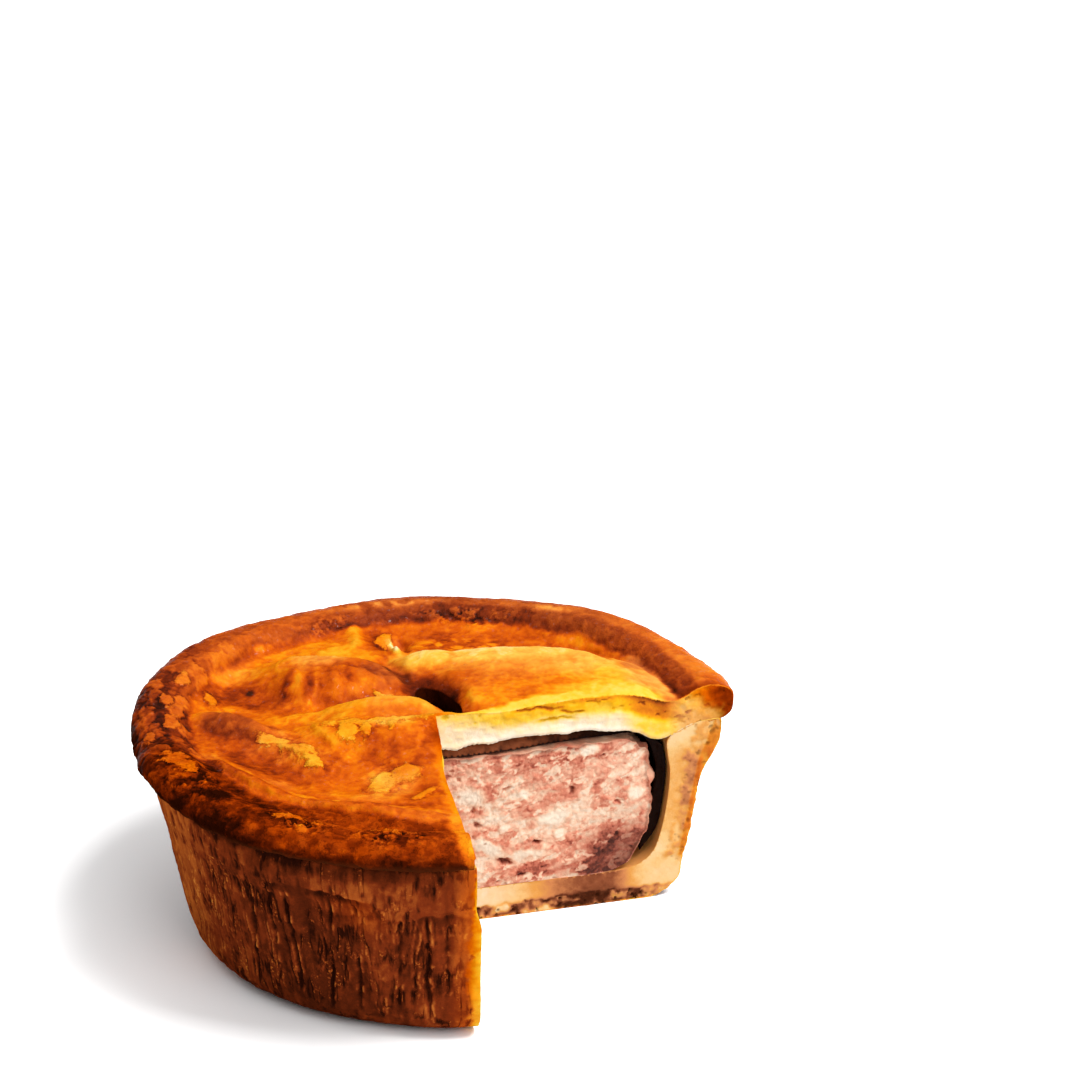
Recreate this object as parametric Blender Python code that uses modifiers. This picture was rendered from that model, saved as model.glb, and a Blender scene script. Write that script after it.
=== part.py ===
"""A raised pork pie with one slice cut out of it, as four solids: the pastry case, the pastry lid with its
rolled rim, the pork filling and the layer of jelly between the filling and the pastry.

Units are metres, +Z is up, and the origin is the centre of the flat base. The slice was cut out in front
and to the right, so the two cut faces look towards -Y and +X.
"""

import math

import bmesh
import bpy
from mathutils import Vector

MM = 0.001

# Driving dimensions
RIM_RADIUS = 65.0 * MM
RIM_HEIGHT = 49.0 * MM
RIM_WIDEST_HEIGHT = 46.0 * MM
LID_LEVEL = 46.2 * MM
CREVICE_RADIUS = 60.6 * MM
CREVICE_HEIGHT = 42.6 * MM
WALL_FOOT_RADIUS = 54.1 * MM
FOOT_ROUND = 7.8 * MM
BASE_THICKNESS = 7.5 * MM
INNER_RADIUS = 51.0 * MM
FILLING_RADIUS = 48.2 * MM
FILLING_TOP = 39.2 * MM
UNDERSIDE_LEVEL = 42.3 * MM
JOINT_GAP = 0.3 * MM

# Where, along the radius, the lid turns up into the rim and its underside turns down to the seam
RIM_RISE = (50.0 * MM, 57.0 * MM)
UNDERSIDE_TURN = (38.0 * MM, 46.0 * MM)
HOLLOW_SHARE_BELOW = 0.35
RIM_SHARE_OF_RELIEF = 0.2

# Unevenness of the wall and of the rim's lower lip. A fold is (folds to a turn, depth, phase in degrees).
WALL_FOLDS = ((17, 0.30 * MM, 0.0), (11, 0.22 * MM, 60.0))
BAND_DEPTH = 0.7 * MM
BAND_FOOT = 31.0 * MM
LIP_DROP = 2.3 * MM
FULLER_TOP = 1.5 * MM
FOOT_SPREAD = 1.5 * MM
FOOT_SPREAD_HALF_WIDTH = 16.0

# The slice that was cut out
CUT_APEX = Vector((0.0, -5.0 * MM, 0.0))
CUT_START = math.radians(-80.0)
CUT_END = math.radians(15.5)
CUT_REACH = 140.0 * MM

# The steam hole, an oval funnel just behind the cut
STEAM_HOLE = Vector((0.6 * MM, 10.6 * MM, 0.0))
STEAM_HOLE_TOP = Vector((4.2 * MM, 5.6 * MM))
STEAM_HOLE_BOTTOM = Vector((3.0 * MM, 3.6 * MM))

TURN_STEPS = 72
MERGE = 0.00005

# Swellings and hollows of the lid: place of the middle, half length, half width, direction and height.
# The direction is that of the length, in degrees from +X. Everything else is in millimetres.
LID_FORMS = {
    "swelling_behind_cut": (24.0, 11.0, 25.0, 12.5, 8.0, 4.4),
    "swelling_left": (-24.0, 17.5, 16.0, 8.5, -8.0, 3.6),
    "lip_of_steam_hole": (-10.0, 3.6, 13.0, 3.6, 6.0, 2.6),
    "front_slab": (-16.0, -12.0, 19.0, 8.0, 22.0, 3.0),
    "slab_corner": (-3.0, -14.0, 8.0, 9.0, 80.0, 1.6),
    "red_ridge": (-42.0, -6.5, 11.0, 3.8, 12.0, 2.8),
    "crimp_fold": (-20.0, 47.0, 7.0, 2.6, 112.0, 1.6),
    "rim_end_behind_cut": (54.0, 16.0, 6.0, 4.5, 100.0, 1.2),
    "left_hollow": (-40.0, 15.0, 11.0, 8.0, 110.0, -1.5),
    "front_hollow": (-12.0, -30.0, 15.0, 6.5, -8.0, -2.0),
    "front_left_hollow": (-36.0, -20.5, 13.0, 6.0, 130.0, -1.6),
    "back_hollow": (8.0, 40.0, 24.0, 6.5, -12.0, -1.3),
    "back_dimple": (-10.5, 43.0, 4.5, 3.4, 60.0, -2.4),
    "valley_from_hole": (-19.0, 7.5, 14.0, 3.0, 34.0, -1.2),
    "steam_hole_funnel": (0.6, 10.6, 6.5, 7.5, 0.0, -2.4),
}

# Lumps of the rolled rim: angle, half width in degrees, outward swelling and rise in millimetres.
RIM_LUMPS = {
    "overlap": (-153.0, 9.0, 0.5, 1.3),
    "notch_before_overlap": (-168.0, 6.0, -0.7, -0.9),
    "left_lump": (173.0, 10.0, 0.5, 0.5),
    "front_sag": (-103.0, 16.0, 0.2, -0.9),
    "front_lump": (-124.0, 10.0, 0.3, 0.3),
    "back_left_rise": (146.0, 22.0, 0.3, 1.2),
    "back_right_rise": (54.0, 22.0, -0.1, 1.3),
    "cut_end_rise": (17.0, 9.0, 0.3, 0.6),
}


def millimetres(points):
    return [(radius * MM, height * MM) for radius, height in points]


# Each outline is (radius, height), and the lid and the case share the seam, with JOINT_GAP between them.
LID_TOP = [
    (0.0, LID_LEVEL),
    *[(radius * MM, LID_LEVEL) for radius in (4, 8, 12, 16, 20, 24, 28, 32, 36, 40, 44)],
    *millimetres([(48, 45.8), (51, 45.7), (53.5, 46.6), (56, 48.2)]),
    (58.6 * MM, RIM_HEIGHT),
    *millimetres([(61.4, 48.7), (63.6, 47.7)]),
    (RIM_RADIUS, RIM_WIDEST_HEIGHT),
    *millimetres([(64.6, 44.4), (63.0, 43.0)]),
]
SEAM = [
    (CREVICE_RADIUS, CREVICE_HEIGHT),
    *millimetres([(55.5, 40.6), (50.6, 38.6)]),
]
LID_UNDERSIDE = [
    *millimetres([(48.6, 37.9), (46.4, 38.7), (44.0, 40.4), (37.0, 41.7)]),
    (26.0 * MM, UNDERSIDE_LEVEL),
    (13.0 * MM, UNDERSIDE_LEVEL),
    (0.0, UNDERSIDE_LEVEL - 0.8 * MM),
]
CASE_INSIDE = [
    *millimetres([(49.8, 37.6), (50.4, 34.5)]),
    (INNER_RADIUS, 30.0 * MM),
    *millimetres([(50.3, 22.0), (49.0, 15.5), (47.2, 11.0), (43.5, 8.3)]),
    (37.0 * MM, BASE_THICKNESS),
    (18.0 * MM, BASE_THICKNESS),
    (0.0, BASE_THICKNESS),
]
FILLING_SIDE = [
    (0.0, FILLING_TOP),
    (14.0 * MM, FILLING_TOP),
    (28.0 * MM, FILLING_TOP),
    *millimetres([(39.0, 39.3), (43.6, 38.0), (46.6, 35.0)]),
    (FILLING_RADIUS, 30.0 * MM),
    *millimetres([(47.2, 22.0), (45.4, 15.5), (43.0, 11.0)]),
]


def smooth_step(low, high, value):
    share = min(1.0, max(0.0, (value - low) / (high - low)))
    return share * share * (3.0 - 2.0 * share)


def lid_relief(x, y):
    """Rise of the lid's top over its level, from the swellings and hollows."""
    rise = 0.0
    for place_x, place_y, half_length, half_width, direction, height in LID_FORMS.values():
        turn = math.radians(direction)
        away_x = x / MM - place_x
        away_y = y / MM - place_y
        along = (away_x * math.cos(turn) + away_y * math.sin(turn)) / half_length
        across = (away_y * math.cos(turn) - away_x * math.sin(turn)) / half_width
        rise += height * math.exp(-(along**2 + across**2))
    return rise * MM


def rim_lump(x, y):
    """(outward swelling, rise) of the rim at this angle."""
    angle = math.degrees(math.atan2(y, x))
    swelling = 0.35 * math.sin(math.radians(5 * angle + 40))
    rise = 0.3 * math.sin(math.radians(7 * angle + 100))
    for middle, half_width, outward, up in RIM_LUMPS.values():
        away = (angle - middle + 180.0) % 360.0 - 180.0
        share = math.exp(-((away / half_width) ** 2))
        swelling += outward * share
        rise += up * share
    return swelling * MM, rise * MM


def underside_dip(x, y):
    """How far the lid's underside sinks below the hollows of its top."""
    fade = 1.0 - smooth_step(*UNDERSIDE_TURN, math.hypot(x, y))
    return HOLLOW_SHARE_BELOW * min(0.0, lid_relief(x, y)) * fade


def behind_cut(x, y):
    """1 at the cut face that looks to the front, falling to 0 some way round behind it."""
    angle = math.degrees(math.atan2(y, x))
    return (1.0 - smooth_step(20, 50, angle)) * smooth_step(-40, 0, angle)


def shape_lid(point):
    """Moves a point of the even lid to its place on the uneven one."""
    radius = math.hypot(point.x, point.y)
    swelling, rise = rim_lump(point.x, point.y)
    at_rim = smooth_step(*RIM_RISE, radius)
    above = smooth_step(UNDERSIDE_LEVEL, LID_LEVEL - 1.5 * MM, point.z)
    upper_roll = at_rim * smooth_step(CREVICE_HEIGHT, RIM_WIDEST_HEIGHT, point.z)
    relief = lid_relief(point.x, point.y) * (1.0 - (1.0 - RIM_SHARE_OF_RELIEF) * at_rim)
    on_lip = smooth_step(CREVICE_RADIUS, CREVICE_RADIUS + 2 * MM, radius)
    on_lip *= 1.0 - smooth_step(CREVICE_HEIGHT + 1.5 * MM, RIM_WIDEST_HEIGHT, point.z)
    sunk = underside_dip(point.x, point.y) * (1.0 - above) - LIP_DROP * on_lip * behind_cut(point.x, point.y)
    point.z += upper_roll * rise + relief * above + sunk
    if radius > 0.0:
        stretch = 1.0 + swelling * upper_roll / radius
        point.x *= stretch
        point.y *= stretch


def shape_under_lid(point):
    """Lets the jelly's top follow the underside of the uneven lid."""
    if point.z > FILLING_TOP + 1.0 * MM:
        point.z += underside_dip(point.x, point.y)


def shape_case(point):
    """Gives the wall broad upright folds, the proud band below the rim at the front, a fuller top behind the
    cut and a foot that spreads beside it."""
    radius = math.hypot(point.x, point.y)
    angle = math.degrees(math.atan2(point.y, point.x))
    outside = smooth_step(INNER_RADIUS, WALL_FOOT_RADIUS - 1.0 * MM, radius)

    folds = sum(depth * math.sin(math.radians(count * angle + phase)) for count, depth, phase in WALL_FOLDS)
    at_front = smooth_step(-150, -125, angle) * (1.0 - smooth_step(-70, -60, angle))
    band = BAND_DEPTH * at_front * smooth_step(BAND_FOOT, BAND_FOOT + 2 * MM, point.z)
    below_rim = 1.0 - smooth_step(36 * MM, 41 * MM, point.z)
    on_wall = outside * smooth_step(4 * MM, 12 * MM, point.z) * below_rim

    below_crevice = 1.0 - smooth_step(CREVICE_HEIGHT - 2 * MM, CREVICE_HEIGHT - JOINT_GAP, point.z)
    on_skin = smooth_step(56 * MM, 58 * MM, radius)
    fuller = FULLER_TOP * behind_cut(point.x, point.y)
    fuller *= smooth_step(28 * MM, 36 * MM, point.z) * below_crevice * on_skin

    at_foot = smooth_step(38 * MM, 45 * MM, radius) if point.z < BASE_THICKNESS else outside
    at_foot *= 1.0 - smooth_step(FOOT_ROUND, 2 * FOOT_ROUND, point.z)
    away = (angle - math.degrees(CUT_START)) / FOOT_SPREAD_HALF_WIDTH
    spread = FOOT_SPREAD * at_foot * math.exp(-(away**2))

    outward = (folds + band) * on_wall + fuller + spread
    if radius > 0.0:
        stretch = 1.0 + outward / radius
        point.x *= stretch
        point.y *= stretch


def material(name, colour, roughness):
    made = bpy.data.materials.new(name)
    made.use_nodes = True
    shader = made.node_tree.nodes["Principled BSDF"]
    shader.inputs["Base Color"].default_value = (*colour, 1.0)
    shader.inputs["Roughness"].default_value = roughness
    shader.inputs["Metallic"].default_value = 0.0
    made.diffuse_color = (*colour, 1.0)
    return made


def turned(name, outline):
    """A mesh turned round the Z axis from an outline that runs from the top of the axis, down the outside,
    to the bottom of the axis."""
    sketch = bpy.data.meshes.new(name + "_outline")
    points = [(radius, 0.0, height) for radius, height in outline]
    edges = [(i, i + 1) for i in range(len(points) - 1)]
    sketch.from_pydata(points, edges, [])
    profile = bpy.data.objects.new(name + "_profile", sketch)
    bpy.context.scene.collection.objects.link(profile)
    screw = profile.modifiers.new("turn", "SCREW")
    screw.steps = TURN_STEPS
    screw.render_steps = TURN_STEPS
    screw.use_merge_vertices = True
    screw.merge_threshold = MERGE
    bpy.context.view_layer.update()
    graph = bpy.context.evaluated_depsgraph_get()
    mesh = bpy.data.meshes.new_from_object(profile.evaluated_get(graph))
    bpy.data.objects.remove(profile)
    mesh.name = name
    return mesh


def offset_outline(outline, across):
    """The outline moved sideways by a distance, to the right of its direction of travel. A point on the axis
    stays on it."""
    moved = []
    for i, (radius, height) in enumerate(outline):
        before = outline[max(0, i - 1)]
        after = outline[min(len(outline) - 1, i + 1)]
        step = Vector((after[0] - before[0], after[1] - before[1])).normalized()
        moved_radius = max(0.0, radius + step.y * across) if radius > 0.0 else 0.0
        moved.append((moved_radius, height - step.x * across))
    return moved


def outlines():
    """The closed outline of each piece, from the axis at its top to the axis at its bottom."""
    lid = [*LID_TOP, *SEAM, *LID_UNDERSIDE]
    seam_below = [(radius, height - JOINT_GAP) for radius, height in reversed(SEAM)]
    foot = [
        (
            WALL_FOOT_RADIUS - FOOT_ROUND * (1.0 - math.cos(turn)),
            FOOT_ROUND * (1.0 - math.sin(turn)),
        )
        for turn in (math.radians(step * 22.5) for step in range(5))
    ]
    wall = [
        *millimetres([(60.3, 40.0), (59.6, 36.0), (59.0, 33.2), (58.3, 30.5), (57.2, 24.0), (55.6, 15.5)]),
        *foot,
        (30.0 * MM, 0.0),
        (0.0, 0.0),
    ]
    case = [*reversed(CASE_INSIDE), *seam_below, *wall]
    jelly_outside = offset_outline([*reversed(LID_UNDERSIDE), *CASE_INSIDE[:6]], JOINT_GAP)
    jelly_inside = offset_outline(FILLING_SIDE, -JOINT_GAP)
    jelly = [*jelly_outside, *reversed(jelly_inside)]
    filling_bottom = [(radius, height + JOINT_GAP) for radius, height in CASE_INSIDE[7:]]
    filling = [*FILLING_SIDE, *millimetres([(41.0, 8.9)]), *filling_bottom]
    return {"pastry_lid": lid, "pastry_case": case, "jelly": jelly, "pork_filling": filling}


def hidden_cutter(name, mesh, collection):
    cutter = bpy.data.objects.new(name, mesh)
    collection.objects.link(cutter)
    cutter.hide_render = True
    cutter.display_type = "WIRE"
    return cutter


def slice_cutter(collection):
    """An upright block whose two sides meet at the cut's apex."""
    middle = (CUT_START + CUT_END) / 2
    corners = [CUT_APEX.copy()]
    for angle, reach in ((CUT_START, CUT_REACH), (middle, 1.5 * CUT_REACH), (CUT_END, CUT_REACH)):
        corners.append(CUT_APEX + Vector((math.cos(angle), math.sin(angle), 0.0)) * reach)
    shape = bmesh.new()
    outline = [shape.verts.new(corner + Vector((0.0, 0.0, -20 * MM))) for corner in corners]
    floor = shape.faces.new(outline)
    raised = bmesh.ops.extrude_face_region(shape, geom=[floor])
    top = [item for item in raised["geom"] if isinstance(item, bmesh.types.BMVert)]
    bmesh.ops.translate(shape, verts=top, vec=(0.0, 0.0, 100 * MM))
    bmesh.ops.recalc_face_normals(shape, faces=shape.faces)
    mesh = bpy.data.meshes.new("slice_cutter")
    shape.to_mesh(mesh)
    shape.free()
    return hidden_cutter("slice_cutter", mesh, collection)


def steam_hole_cutter(collection):
    """An oval funnel, wider at the top of the lid than below it."""
    bottom = UNDERSIDE_LEVEL - 6 * MM
    height = 20 * MM
    shape = bmesh.new()
    bmesh.ops.create_cone(shape, cap_ends=True, segments=20, radius1=1.0, radius2=1.0, depth=height)
    for vertex in shape.verts:
        size = STEAM_HOLE_TOP if vertex.co.z > 0 else STEAM_HOLE_BOTTOM
        vertex.co.x = vertex.co.x * size.x + STEAM_HOLE.x
        vertex.co.y = vertex.co.y * size.y + STEAM_HOLE.y
        vertex.co.z += bottom + height / 2
    mesh = bpy.data.meshes.new("steam_hole_cutter")
    shape.to_mesh(mesh)
    shape.free()
    return hidden_cutter("steam_hole_cutter", mesh, collection)


def cut(piece, cutter):
    modifier = piece.modifiers.new("cut_" + cutter.name, "BOOLEAN")
    modifier.operation = "DIFFERENCE"
    modifier.object = cutter


def main():
    for leftover in list(bpy.data.objects):
        bpy.data.objects.remove(leftover)
    pie = bpy.data.collections.new("pork_pie")
    cutters = bpy.data.collections.new("cutters")
    bpy.context.scene.collection.children.link(pie)
    bpy.context.scene.collection.children.link(cutters)

    shapers = {"pastry_lid": shape_lid, "pastry_case": shape_case, "jelly": shape_under_lid}
    looks = {
        "pastry_lid": material("glazed_crust", (0.62, 0.24, 0.04), 0.35),
        "pastry_case": material("baked_crust", (0.40, 0.16, 0.04), 0.60),
        "jelly": material("jelly", (0.08, 0.04, 0.02), 0.15),
        "pork_filling": material("pork", (0.60, 0.30, 0.25), 0.55),
    }
    slice_block = slice_cutter(cutters)
    steam_hole = steam_hole_cutter(cutters)
    for name, outline in outlines().items():
        mesh = turned(name, outline)
        if name in shapers:
            for vertex in mesh.vertices:
                shapers[name](vertex.co)
        mesh.shade_smooth()
        mesh.set_sharp_from_angle(angle=math.radians(45))
        mesh.materials.append(looks[name])
        piece = bpy.data.objects.new(name, mesh)
        pie.objects.link(piece)
        cut(piece, slice_block)
        if name == "pastry_lid":
            cut(piece, steam_hole)


main()
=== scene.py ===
"""Looks of a raised pork pie with one slice cut out: a glazed lid with a rolled rim, a hot-water-crust case
with a cracked wall, coarse minced pork and the dark jelly between them.

Every piece is built here as a closed mesh that stands for the solid of the same place. Lengths are in
millimetres until a mesh is made. Surfaces are turned from outlines, laid out as a flat disc, triangulated
there and then given their unevenness. The two cut faces are triangulated in their own planes.
"""

import itertools
import math

import bpy
import numpy as np
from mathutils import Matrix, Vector
from mathutils.geometry import delaunay_2d_cdt


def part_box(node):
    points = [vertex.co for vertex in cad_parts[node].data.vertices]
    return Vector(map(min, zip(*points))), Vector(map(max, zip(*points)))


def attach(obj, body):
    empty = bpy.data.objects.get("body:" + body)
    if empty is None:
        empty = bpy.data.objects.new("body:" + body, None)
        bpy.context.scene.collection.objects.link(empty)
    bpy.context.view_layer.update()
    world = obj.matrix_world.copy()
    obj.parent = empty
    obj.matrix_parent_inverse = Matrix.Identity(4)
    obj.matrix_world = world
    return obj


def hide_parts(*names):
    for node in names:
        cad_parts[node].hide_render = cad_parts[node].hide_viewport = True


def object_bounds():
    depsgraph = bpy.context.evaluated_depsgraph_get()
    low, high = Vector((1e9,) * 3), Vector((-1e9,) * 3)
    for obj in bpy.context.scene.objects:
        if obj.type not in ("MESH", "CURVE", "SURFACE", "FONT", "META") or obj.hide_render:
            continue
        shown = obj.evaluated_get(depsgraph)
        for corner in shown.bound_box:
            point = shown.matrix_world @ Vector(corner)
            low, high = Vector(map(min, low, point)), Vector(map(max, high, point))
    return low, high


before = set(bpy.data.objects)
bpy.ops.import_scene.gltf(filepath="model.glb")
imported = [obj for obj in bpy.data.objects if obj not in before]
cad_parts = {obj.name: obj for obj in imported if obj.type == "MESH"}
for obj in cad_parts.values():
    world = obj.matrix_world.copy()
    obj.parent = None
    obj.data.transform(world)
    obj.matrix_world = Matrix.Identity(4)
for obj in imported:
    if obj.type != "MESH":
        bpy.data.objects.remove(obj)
CAD_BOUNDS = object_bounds()

MM = 0.001


# ---------------------------------------------------------------- sizes, from the frame


def corners(node):
    """The low and the high corner of a solid's box."""
    low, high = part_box(node)
    return np.array(low) / MM, np.array(high) / MM


lid_low, lid_high = corners("pastry_lid")
case_low, case_high = corners("pastry_case")
filling_low, filling_high = corners("pork_filling")
jelly_high = corners("jelly")[1]

# the rim's radius, and the heights of the seam between lid and case, the lid's level top and its underside
RIM = (lid_high[1] - lid_low[1]) / 2 - 0.1
SEAM = case_high[2] + 0.1
LID = SEAM + 3.8
UNDER = jelly_high[2] + 0.2
# the case's floor inside, the pork, and the lowest and highest places that any form may reach
FLOOR = filling_low[2] - 0.2
MEAT_TOP = filling_high[2] - 0.1
MEAT_RADIUS = (filling_high[1] - filling_low[1]) / 2
BOTTOM = case_low[2]
TOP = lid_high[2] - 1.0

# the slice is cut out between side a, on the right, and side b, towards the front
APEX = np.array([0.0, -5.0])
CUT_ANGLES = {"a": math.radians(15.5), "b": math.radians(-80.0)}
# the steam hole: its middle, and half its length and width at the top and at the bottom
HOLE = np.array([0.2, 8.6])
HOLE_TOP = np.array([9.8, 3.3])
HOLE_BOTTOM = np.array([7.6, 2.6])
HOLE_DIRECTION = math.radians(118.0)
# radii of the cylinders on which patterns run round the rim and the wall
RIM_CYLINDER = 60.0
WALL_CYLINDER = 57.0

# outlines as (radius, height), from the axis outwards
SEAM_RING = (RIM - 8.0, SEAM - 1.2)
LID_TOP = [
    (0, LID), (RIM - 24, LID), (RIM - 21, LID), (RIM - 17, LID - 0.4), (RIM - 14, LID - 0.5),
    (RIM - 11.5, LID + 0.4), (RIM - 9, LID + 2.0), (RIM - 6.4, LID + 2.8), (RIM - 3.6, LID + 2.5),
    (RIM - 1.4, LID + 1.5), (RIM, LID - 0.2), (RIM - 0.4, LID - 1.8), (RIM - 2, LID - 3.1),
    (RIM - 4.4, LID - 3.6), SEAM_RING,
]
LID_BELOW = [
    (0, UNDER - 0.8), (13, UNDER), (26, UNDER), (37, UNDER - 0.6), (44, UNDER - 1.9), (46.4, UNDER - 3.6),
    (48.8, UNDER - 4.1), (50.9, UNDER - 3.5), (53.5, SEAM - 2.6), SEAM_RING,
]
CASE_OUTSIDE = [
    (0, BOTTOM), (30, BOTTOM), (44, BOTTOM), (47.6, 0.3), (50.6, 1.5), (52.9, 3.8), (54.0, 7.2), (54.5, 10.5),
    (55.6, 15.5), (57.2, 24.0), (58.3, 30.5), (59.0, 33.2), (59.6, 36.0), (60.1, 39.0), (60.0, SEAM - 0.9),
    (59.0, SEAM - 0.8), SEAM_RING,
]
CASE_INSIDE = [
    (0, FLOOR), (18, FLOOR), (37, FLOOR), (43.5, FLOOR + 0.8),
    (47.2, 11), (49.0, 15.5), (50.3, 22), (51.0, 30),
    (50.4, 34.5), (50.2, 37.4), (51.2, SEAM - 3.6), (53.5, SEAM - 2.7), SEAM_RING,
]
JELLY_FOOT = (45.0, 10.6)
JELLY_OUTSIDE = [
    (0, UNDER - 1.1), (13, UNDER - 0.3), (26, UNDER - 0.3), (37, UNDER - 0.9), (43.6, UNDER - 2.2),
    (46.6, UNDER - 4.4), (49.4, 36.0), (50.1, 34.5), (50.7, 30), (50.0, 22), (48.6, 15.6), JELLY_FOOT,
]
JELLY_INSIDE = [
    (0, MEAT_TOP + 0.1), (28, MEAT_TOP + 0.1), (38, MEAT_TOP + 0.1), (42.9, 39.3), (46.1, 37.5), (47.6, 34.6),
    (MEAT_RADIUS + 0.3, 30), (47.4, 22), (45.7, 15.5), JELLY_FOOT,
]
MEAT_FOOT = (41.6, 9.4)
MEAT_OUTSIDE = [
    (0, MEAT_TOP), (28, MEAT_TOP), (37, MEAT_TOP), (42.6, 39.1), (45.7, 37.2), (47.2, 34.4),
    (MEAT_RADIUS, 30), (47.2, 22), (45.4, 15.5), (43.0, 11), MEAT_FOOT,
]
MEAT_BELOW = [(0, FLOOR + 0.05), (18, FLOOR + 0.05), (37, FLOOR + 0.05), MEAT_FOOT]


# ---------------------------------------------------------------- numbers over many points at once


def smooth_step(low, high, value):
    share = np.clip((value - low) / (high - low), 0.0, 1.0)
    return share * share * (3.0 - 2.0 * share)


def fall_off(low, high, value):
    """1 below low, 0 above high and smooth between them."""
    return 1.0 - smooth_step(low, high, value)


def bell(value, middle, width):
    return np.exp(-(((value - middle) / width) ** 2))


def to_unit(value):
    return np.clip(value, 0.0, 1.0)


def wrapped(degrees):
    """Angles brought between -180 and 180 degrees."""
    return (degrees + 180.0) % 360.0 - 180.0


def hashed(cells, seed):
    """A number from 0 to 1 for each row of whole numbers."""
    mixed = np.full(cells.shape[:-1], (2166136261 + 97561 * seed) % 2**32, np.uint32)
    for axis in range(cells.shape[-1]):
        mixed = (mixed ^ cells[..., axis].astype(np.uint32)) * np.uint32(16777619)
        mixed ^= mixed >> np.uint32(15)
        mixed *= np.uint32(2246822519)
        mixed ^= mixed >> np.uint32(13)
    return mixed / 4294967296.0


def noise(points, size, seed):
    """Smooth noise from -1 to 1 whose features are about this size."""
    scaled = np.asarray(points, float) / size
    cell = np.floor(scaled)
    part = scaled - cell
    part = part**3 * (part * (part * 6.0 - 15.0) + 10.0)
    cell = cell.astype(np.int64)
    total = 0.0
    for corner in itertools.product((0, 1), repeat=scaled.shape[-1]):
        weight = 1.0
        for axis, step in enumerate(corner):
            weight = weight * (part[..., axis] if step else 1.0 - part[..., axis])
        total = total + weight * hashed(cell + np.array(corner), seed)
    return 2.0 * total - 1.0


def layered(points, size, seed, layers=4, fade=0.5):
    """Noise with finer and weaker noise on top of it."""
    total = 0.0
    whole = 0.0
    for layer in range(layers):
        total = total + fade**layer * noise(points, size / 2**layer, seed + layer)
        whole += fade**layer
    return total / whole


def scattered_cells(points, size, seed):
    """Distances to the nearest and second nearest of scattered points, in cell sizes, and a number from 0 to
    1 that belongs to the nearest one."""
    scaled = np.asarray(points, float) / size
    home = np.floor(scaled).astype(np.int64)
    nearest = np.full(len(scaled), 9.0)
    second = np.full(len(scaled), 9.0)
    own = np.zeros(len(scaled))
    for step in itertools.product((-1, 0, 1), repeat=scaled.shape[-1]):
        cell = home + np.array(step)
        place = np.stack([cell[:, k] + hashed(cell, seed + k) for k in range(cell.shape[1])], axis=-1)
        distance = np.linalg.norm(scaled - place, axis=-1)
        closer = distance < nearest
        second = np.where(closer, nearest, np.minimum(second, distance))
        own = np.where(closer, hashed(cell, seed + 11), own)
        nearest = np.where(closer, distance, nearest)
    return nearest, second, own


def warped(points, size, amount, seed):
    """The points shifted by noise, so that what is drawn from them gets an uneven outline."""
    shifts = [amount * layered(points, size, seed + 20 * k, 3) for k in range(points.shape[-1])]
    return points + np.stack(shifts, axis=-1)


def on_cylinder(azimuth, radius, height):
    """The points at these angles round the axis."""
    return np.stack([np.cos(azimuth) * radius, np.sin(azimuth) * radius, height], axis=-1)


def mound(x, y, form):
    """How much of a form shows at a place: 1 in its middle, with the form's own steepness at its sides."""
    place_x, place_y, half_length, half_width, direction, _, steepness = form
    turn = math.radians(direction)
    along = ((x - place_x) * math.cos(turn) + (y - place_y) * math.sin(turn)) / half_length
    across = ((y - place_y) * math.cos(turn) - (x - place_x) * math.sin(turn)) / half_width
    return np.exp(-((along**2 + across**2) ** steepness))


def strongest(x, y, forms):
    """The largest amount of any of the forms at each place."""
    return np.max([form[5] * mound(x, y, form) for form in forms.values()], axis=0)


def from_route(x, y, route):
    """(distance from a route, positive on its left; share of the way along it) at each place."""
    best = np.full(np.shape(x), 1e9)
    side = np.ones(np.shape(x))
    share = np.zeros(np.shape(x))
    knots = np.array(route, float)
    steps = np.linalg.norm(np.diff(knots, axis=0), axis=1)
    done = np.concatenate([[0.0], np.cumsum(steps)])
    for k, step in enumerate(steps):
        line = (knots[k + 1] - knots[k]) / step
        away_x = x - knots[k, 0]
        away_y = y - knots[k, 1]
        along = np.clip(away_x * line[0] + away_y * line[1], 0.0, step)
        off_x = away_x - along * line[0]
        off_y = away_y - along * line[1]
        distance = np.hypot(off_x, off_y)
        closer = distance < best
        best = np.where(closer, distance, best)
        side = np.where(closer, np.where(line[0] * off_y - line[1] * off_x >= 0.0, 1.0, -1.0), side)
        share = np.where(closer, (done[k] + along) / done[-1], share)
    return best * side, share


def ridge(x, y, route, left_width, right_width):
    """1 along a route, falling off over one width on its left and another on its right, and to its ends."""
    distance, share = from_route(x, y, route)
    width = np.where(distance > 0.0, left_width, right_width)
    ends = smooth_step(0.0, 0.18, share) * fall_off(0.82, 1.0, share)
    return bell(distance, 0.0, width) * (0.15 + 0.85 * ends)


# ---------------------------------------------------------------- the cut


def cut_line(side):
    """Level, along a cut plane, from the apex outwards."""
    return np.array([math.cos(CUT_ANGLES[side]), math.sin(CUT_ANGLES[side])])


def cut_normal(side):
    """Level, out of the pie, towards where the slice was."""
    line = cut_line(side)
    outward = np.array([line[1], -line[0]])
    return outward if side == "a" else -outward


def behind(side, x, y):
    """Distance behind a cut plane, into the pie."""
    normal = cut_normal(side)
    return -((x - APEX[0]) * normal[0] + (y - APEX[1]) * normal[1])


def outwards(side, x, y):
    """Distance along a cut plane from the apex."""
    line = cut_line(side)
    return (x - APEX[0]) * line[0] + (y - APEX[1]) * line[1]


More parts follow.
